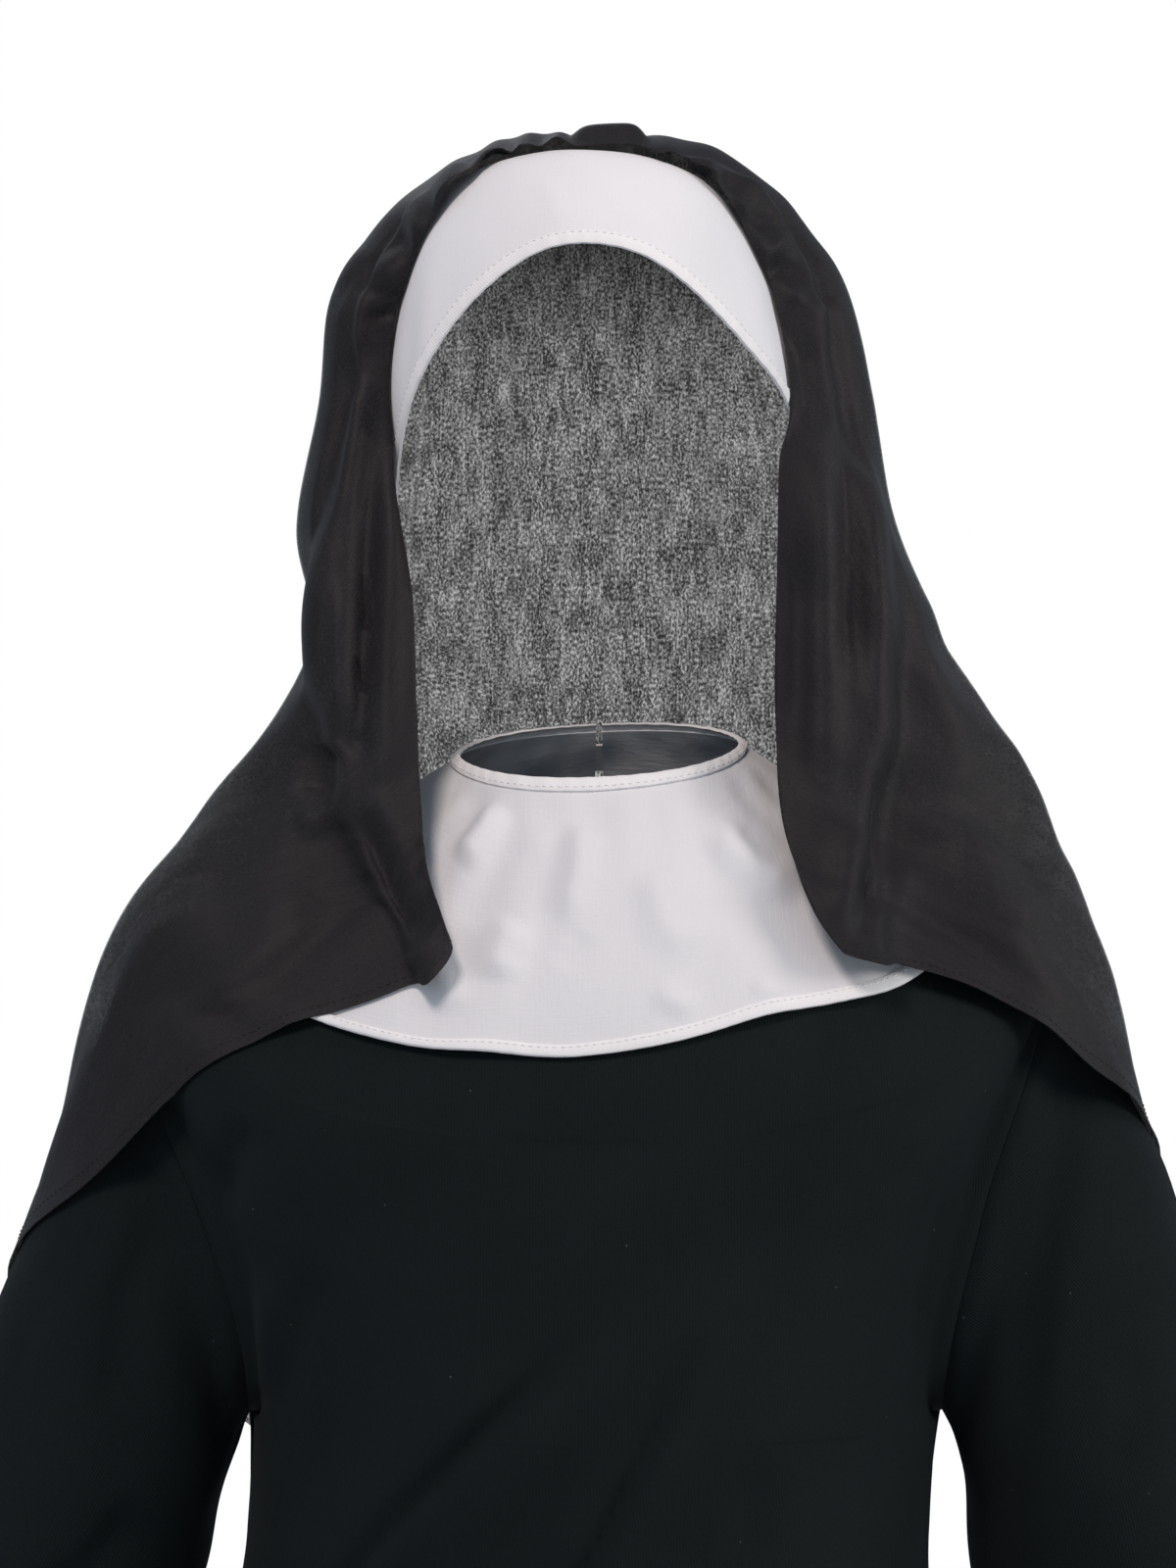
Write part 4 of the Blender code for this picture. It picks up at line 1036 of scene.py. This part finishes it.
VEIL_RIGHT_CREASES = (
    (((30, 230), (43.8, 227.3), (55.4, 220.3), (64, 215)), 4.4, 6, -2.4),
    (
        ((35.8, 225.8), (47.1, 218.9), (55.4, 213.8), (63.5, 211.6), (70.4, 208.7), (75.1, 202.8),
         (82.1, 191.2)), 4.4, 6.7, -3.2,
    ),
    (((53, 217.5), (62, 215), (71, 212)), 4.4, 4.4, 1.9),
    (((56, 210), (65.7, 202.1)), 3.7, 5.3, -1.9),
    (((61.3, 198), (67.1, 193), (75.1, 188.6), (81, 182.8), (81.2, 176.5)), 4.4, 6.7, -3.4),
    (((64, 190), (72, 185), (77, 179)), 5.3, 5.3, 2.1),
    (((71.3, 169), (76, 156.9), (78.2, 143.1), (76.7, 130)), 4.4, 7.6, -4.2),
    (((92.5, 165), (93.5, 135), (94, 100), (94.5, 60), (94, 22)), 5.5, 7.5, -5.5),
    (((80, 135), (81.8, 100), (82.3, 60), (82.2, 5), (84, -28)), 7.5, 7, 5.2),
    (((100, 140), (102, 100), (102, 50), (101.5, 5)), 4.5, 4.5, 3.5),
    (((73.5, 90), (72.9, 50), (73.5, 10)), 5, 7, -2.6),
    (((106, 20), (105.2, -6), (101.8, -29), (97, -48), (91.5, -64)), 5, 7, -6.1),
    (((93, -15), (90.5, -35), (87, -52)), 6, 6, 3.5),
    (((112, -25), (106, -42), (101, -57)), 7.6, 7.6, 3.1),
    (((130, 6), (151.9, -20.1), (174.2, -39.4)), 9, 12, -4.2),
    (((126, -18), (147, -38), (170, -56)), 10.6, 10.6, 3.5),
    (((118, -38), (142, -62), (164, -86)), 10.6, 10.6, -2.7),
    (((128, 70), (138, 40), (152, 8)), 9, 9, -3.1),
)
VEIL_BACK_CREASES = (
    (((-30, 215), (-46, 180), (-52, 130), (-54, 70)), 11, 15.2, -4),
    (((26, 210), (40, 170), (50, 120), (56, 60)), 11, 15.2, -4),
    (((-6, 190), (-10, 130), (-4, 60)), 11, 13.8, -3),
    (((70, 160), (82, 110), (90, 50)), 9.7, 12.4, -3.5),
    (((-72, 170), (-86, 120), (-88, 60)), 9.7, 12.4, -3.5),
    (((-100, 20), (-124, -50), (-136, -130)), 12.4, 16.6, -4.3),
    (((108, 10), (130, -60), (140, -140)), 12.4, 16.6, -4),
    (((-20, -20), (-26, -110), (-20, -220)), 11, 15.2, -3),
    (((50, -30), (62, -120), (66, -230)), 11, 15.2, -3.2),
)
# Puffs of the gathered cloth over the crown: each runs back from the band seam.
CROWN_PUFFS = (
    # x at the seam, x at the back of the crown, half width, height
    (-0.0155, -0.0120, 0.0048, 0.0054),
    (-0.0266, -0.0230, 0.0050, 0.0059),
    (-0.0378, -0.0370, 0.0052, 0.0062),
    (-0.0500, -0.0560, 0.0066, 0.0072),
    (-0.0640, -0.0740, 0.0072, 0.0030),
    (0.0240, 0.0230, 0.0085, 0.0042),
    (0.0400, 0.0430, 0.0078, 0.0036),
    (0.0570, 0.0660, 0.0075, 0.0012),
)
CROWN_PUFF_REACH = (-0.040, 0.075)  # from the seam to where the puffs have sunk away, along y
CROWN_PUFF_FOOT = (0.185, 0.215)  # and between these heights at the sides
VEIL_STEPS = (8, 16, 7, 16, 12, 22, 24)  # columns between one carrying point and the next, edge to back
VEIL_ROWS = 210
SIDE_POINT = 5  # of the carrying points, the one at the side of the head
VEIL_HEM = 0.006
VEIL_WAVES = (0.0006, 0.045)
VEIL_THREAD = (0.012, 0.011, 0.012)
VEIL_STITCH = (0.0030, 0.0022)
HEM_DROPS = (
    # x, half_width, how much lower the front hem hangs there
    (-0.190, 0.026, 0.0125),
    (-0.063, 0.011, -0.0060),
    (0.194, 0.030, 0.0100),
)
HEM_DROP_SECTIONS = (8.0, 11.0)
REAR_HEM_LIFT = (-0.165, 0.034, 0.016)  # x, half width and how much higher the hem hangs behind the left arm


def veil_section(position):
    """The points that carry one section of the veil: seven on each side and the centre back."""
    back = through(VEIL_BACK, [position])[0]
    halves = []
    for table, side in ((VEIL_LEFT, -1), (VEIL_RIGHT, 1)):
        edge, fold, outline = through(table, [position])[0].reshape(3, 3)
        free = ease(position, BAND_END_ROW - 1.5, BAND_END_ROW + 0.5)
        turn_width = min(TURN_UNDER[0], TURN_SHARE * np.linalg.norm(fold - edge))
        turn = edge + np.array([side * turn_width, TURN_UNDER[1], 0]) * free
        turn = turn + unit(edge - fold) * SEAM_LAP * (1 - free)
        ledge = fold + np.array([side * FOLD_LEDGE[0], FOLD_LEDGE[1], 0]) * free
        ledge = ledge + (outline - fold) * SEWN_LEDGE_SHARE * (1 - free)
        front = fold + (outline - fold) * np.array(FRONT_SHARE)
        rear = outline + (back - outline) * np.array(REAR_SHARE)
        halves.append([turn, edge, fold, ledge, front, outline, rear])
    return np.array(halves[0] + [back] + halves[1][::-1])


def veil_columns():
    """Column positions, in carrying points, from the left turned edge round to the right one."""
    half = np.concatenate([k + np.arange(n) / n for k, n in enumerate(VEIL_STEPS)])
    last = 2 * len(VEIL_STEPS)
    return np.concatenate([half, [len(VEIL_STEPS)], last - half[::-1]])


def veil_grid(sections, columns):
    """Middle surface of the veil with its folds, gathers, puffs and creases."""
    grid = np.array([through(veil_section(p), columns) for p in sections])
    normals = grid_normals(grid)
    half = len(VEIL_STEPS)
    across = (columns - half) / (half - SIDE_POINT)
    section = sections[:, None]
    height = np.zeros(grid.shape[:2])
    for centre, half_width, depth, top in VEIL_BACK_FOLDS:
        height += depth * hump(across[None, :] - centre, half_width) * ease(section, top, BACK_FOLD_FULL)
    for gathers, from_edge in ((GATHERS_LEFT, columns), (GATHERS_RIGHT, 2 * half - columns)):
        near = np.where(from_edge < half, hump(from_edge - GATHER_PLACE[0], GATHER_PLACE[1]), 0)
        for centre, half_width, depth in gathers:
            height += depth * hump(section - centre, half_width) * near[None, :]
    tuft = np.exp(-(((grid[..., 0] - TUFT_X[0]) / TUFT_X[1]) ** 6))
    height += TUFT_HEIGHT * (tuft * hump(section - TUFT_SECTION[0], TUFT_SECTION[1]))
    x, y, z = np.moveaxis(grid, -1, 0)
    back_share = ease(y, *CROWN_PUFF_REACH)
    over_crown = (1 - back_share) * ease(z, *CROWN_PUFF_FOOT)
    for seam_x, rear_x, half_width, puff in CROWN_PUFFS:
        line_x = seam_x + (rear_x - seam_x) * back_share
        height += puff * hump(x - line_x, half_width * (1 + back_share)) * over_crown
    left_front = ease(SIDE_POINT + 0.5 - columns, -0.5, 0.5)[None, :]
    right_front = ease(SIDE_POINT + 0.5 - (2 * half - columns), -0.5, 0.5)[None, :]
    turned = ease(np.minimum(columns, 2 * half - columns), 0.9, 1.3)[None, :]
    height += crease_height(grid, VEIL_LEFT_CREASES) * left_front * turned
    height += crease_height(grid, VEIL_RIGHT_CREASES) * right_front * turned
    height += crease_height(grid, VEIL_BACK_CREASES) * (1 - left_front) * (1 - right_front)
    run, down = cloth_lengths(grid)
    height += slow_waves(run, down * 0.35, 61, *VEIL_WAVES) * turned
    for drop_x, half_width, drop in HEM_DROPS:
        in_front = left_front if drop_x < 0 else right_front
        grid[..., 2] -= drop * hump(x - drop_x, half_width) * ease(section, *HEM_DROP_SECTIONS) * in_front
    rear_x, half_width, lift = REAR_HEM_LIFT
    grid[..., 2] += lift * hump(x - rear_x, half_width) * ease(section, *HEM_DROP_SECTIONS) * (1 - left_front)
    return grid + normals * height[..., None]


LIFT_NEIGHBOURS = 6
LIFT_SOFTNESS = 1e-4


def lift_clear(grid, names, gap, reach):
    """Moves each point that lies behind the outer skins of the named cloths, or too near, out to the gap."""
    places = np.concatenate([skins[name][0].reshape(-1, 3) for name in names])
    directions = np.concatenate([skins[name][1].reshape(-1, 3) for name in names])
    tree = KDTree(len(places))
    for index, place in enumerate(places):
        tree.insert(place, index)
    tree.balance()
    moved = grid.copy()
    for index in np.ndindex(grid.shape[:2]):
        push = np.zeros(3)
        weight = 1e-9
        for place, nearest, distance in tree.find_n(grid[index], LIFT_NEIGHBOURS):
            if distance < reach:
                direction = directions[nearest]
                away = np.dot(grid[index] - np.array(place), direction)
                share = 1 / (distance + LIFT_SOFTNESS)
                fade = ease(distance, reach, reach / 2)
                push += share * fade * direction * max(gap - away, 0)
                weight += share
        moved[index] = grid[index] + push / weight
    return moved


CLOSER_FRONT = 0.30  # how open the front falls and the gathers look beside the single, stretched back
GATHERED_SECTIONS = (4.5, 2.5)
CORNER_X, CORNER_Z = (0.180, 0.200), (-0.085, -0.115)  # the outer corners of the hem hang doubled


def voile():
    """Thin black voile: soft sheen on its folds, and light through the gaps between its uneven threads."""
    finish = Finish("veil_voile", {
        "Roughness": 0.58, "Specular IOR Level": 0.22,
        "Sheen Weight": 0.05, "Sheen Roughness": 0.4, "Sheen Tint": (0.80, 0.78, 0.84, 1),
    })
    finish.material.surface_render_method = "DITHERED"
    fine = finish.noise(finish.flat(1250, 820), 1.5, 0.6)
    streaks = finish.noise(finish.flat(520, 110))
    broad = finish.noise(finish.flat(110, 55), 3)
    finish.relief(finish.plus(fine, finish.times(streaks, 0.8)), 0.0004, 0.45)
    uneven = finish.times(finish.math("SUBTRACT", streaks, 0.5), 0.35)
    uneven = finish.plus(uneven, finish.times(finish.math("SUBTRACT", broad, 0.5), 0.30))
    openness = finish.spread(finish.plus(fine, uneven), 0.34, 0.70, 0.15, 0.67)
    closer = finish.step("Attribute", {}, "Fac", attribute_name="front_fall")
    openness = finish.times(openness, finish.spread(closer, 0, 1, 1, CLOSER_FRONT))
    clear = finish.step("BsdfTransparent", {})
    mixed = finish.step("MixShader", {"Fac": openness, 1: finish.shader.outputs["BSDF"], 2: clear})
    finish.fill(finish.nodes["Material Output"], {"Surface": mixed})
    shade = finish.spread(finish.plus(fine, finish.times(broad, 0.7)), 0.55, 1.15)
    return finish.coloured(finish.shades(shade, VEIL_BLACK, 0.7, 1.35))


veil_voile = voile()
sections = np.linspace(0, len(VEIL_BACK) - 1, VEIL_ROWS)
middle = veil_grid(sections, veil_columns())
for cloths_below, reach in (
    (["headband_cloth"], 0.024),
    (["tunic_front_cloth", "tunic_back_cloth", "sleeve_left_cloth", "sleeve_right_cloth"], 0.048),
    (["bib_cloth", "bib_neck_binding_tape", "bib_hem_binding_tape"], 0.016),
):
    middle = lift_clear(middle, cloths_below, VEIL_WALL / 2 + VEIL_OVER_ALL, reach)
veil = cloth("veil_cloth_panel", "veil", middle, grid_normals(middle), VEIL_WALL, veil_voile)
from_edge = np.minimum(veil_columns(), 2 * len(VEIL_STEPS) - veil_columns())
in_gathers = ease(sections, *GATHERED_SECTIONS)[:, None]
in_falls = ease(from_edge, SIDE_POINT + 0.1, SIDE_POINT - 1.0)[None, :]
in_corners = ease(np.abs(middle[..., 0]), *CORNER_X) * ease(middle[..., 2], *CORNER_Z)
front_fall = np.tile(np.maximum(np.maximum(in_falls, in_gathers), in_corners).reshape(-1), 2)
fall_layer = veil.data.attributes.new("front_fall", "FLOAT", "POINT")
fall_layer.data.foreach_set("value", front_fall.astype(np.float32))
hem_paths = [skin_line("veil_cloth_panel", row=row_at("veil_cloth_panel", VEIL_HEM))]
veil_thread = stitches("veil_hem_stitches", hem_paths, *VEIL_STITCH,
                       thread_finish("veil_thread", VEIL_THREAD), "veil_cloth", 62)


# ================================================================ floor, light and camera
# A plain pale floor far below, a white room, a soft lamp in front and high above the wearer's right
# shoulder, a weaker one to their left, and a faint one behind.
FLOOR_RADIUS = 4.0
FLOOR_DROP = 0.004
FLOOR_SIDES = 96
CAMERA_PLACE = (-0.0044, -2.2, 0.0)
FRAME_HEIGHT = 0.5926  # how much height the camera takes in, at the depth of the neck
SENSOR = 36.0
SIGHT = 60
ROOM_WHITE = (1.0, 1.0, 1.0)
ROOM_LIGHT = (0.31, 0.365, 0.43)
LAMPS = (
    # name, place, aimed at, size, watts, colour
    ("key_lamp", (-0.80, -1.85, 2.20), (0.0, 0.0, -0.05), 0.8, 46, (1.0, 0.87, 0.82)),
    ("side_lamp", (2.70, -0.90, 0.80), (0.0, 0.0, -0.05), 1.2, 36, (1.0, 0.93, 0.88)),
    ("back_lamp", (-0.80, 2.20, 1.70), (0.0, 0.0, 0.0), 1.6, 10, (0.97, 0.98, 1.0)),
)

lowest = cad_box[0][2]
mesh = bpy.data.meshes.new("floor")
turns = np.linspace(0, math.tau, FLOOR_SIDES, endpoint=False)
ring = [(FLOOR_RADIUS * math.cos(t), FLOOR_RADIUS * math.sin(t), lowest - FLOOR_DROP) for t in turns]
mesh.from_pydata(ring, [], [tuple(range(len(ring)))])
paper = Finish("floor_paper", {"Roughness": 0.9})
mesh.materials.append(paper.coloured((0.82, 0.82, 0.82, 1)))
floor = bpy.data.objects.new("floor", mesh)
bpy.context.scene.collection.objects.link(floor)

world = bpy.data.worlds.new("white_room")
bpy.context.scene.world = world
world.use_nodes = True
nodes, links = world.node_tree.nodes, world.node_tree.links
seen = nodes["Background"]
seen.inputs["Color"].default_value = (*ROOM_WHITE, 1)
lit = nodes.new("ShaderNodeBackground")
lit.inputs["Color"].default_value = (*ROOM_LIGHT, 1)
which = nodes.new("ShaderNodeLightPath")
mixed = nodes.new("ShaderNodeMixShader")
links.new(which.outputs["Is Camera Ray"], mixed.inputs["Fac"])
links.new(lit.outputs["Background"], mixed.inputs[1])
links.new(seen.outputs["Background"], mixed.inputs[2])
links.new(mixed.outputs["Shader"], nodes["World Output"].inputs["Surface"])

for lamp_name, place, target, size, watts, colour in LAMPS:
    lamp = bpy.data.lights.new(lamp_name, "AREA")
    lamp.shape = "DISK"
    lamp.size = size
    lamp.energy = watts
    lamp.color = colour
    holder = bpy.data.objects.new(lamp_name, lamp)
    holder.location = place
    aim = np.array(target) - np.array(place)
    holder.rotation_euler = (math.atan2(math.hypot(aim[0], aim[1]), -aim[2]), 0, math.atan2(-aim[0], aim[1]))
    bpy.context.scene.collection.objects.link(holder)

lens = bpy.data.cameras.new("camera")
lens.sensor_fit = "VERTICAL"
lens.sensor_height = SENSOR
lens.lens = SENSOR * -CAMERA_PLACE[1] / FRAME_HEIGHT
lens.clip_end = SIGHT
camera = bpy.data.objects.new("camera", lens)
camera.location = CAMERA_PLACE
camera.rotation_euler = (math.pi / 2, 0, 0)
bpy.context.scene.collection.objects.link(camera)
bpy.context.scene.camera = camera
bpy.context.scene.view_settings.view_transform = "Standard"
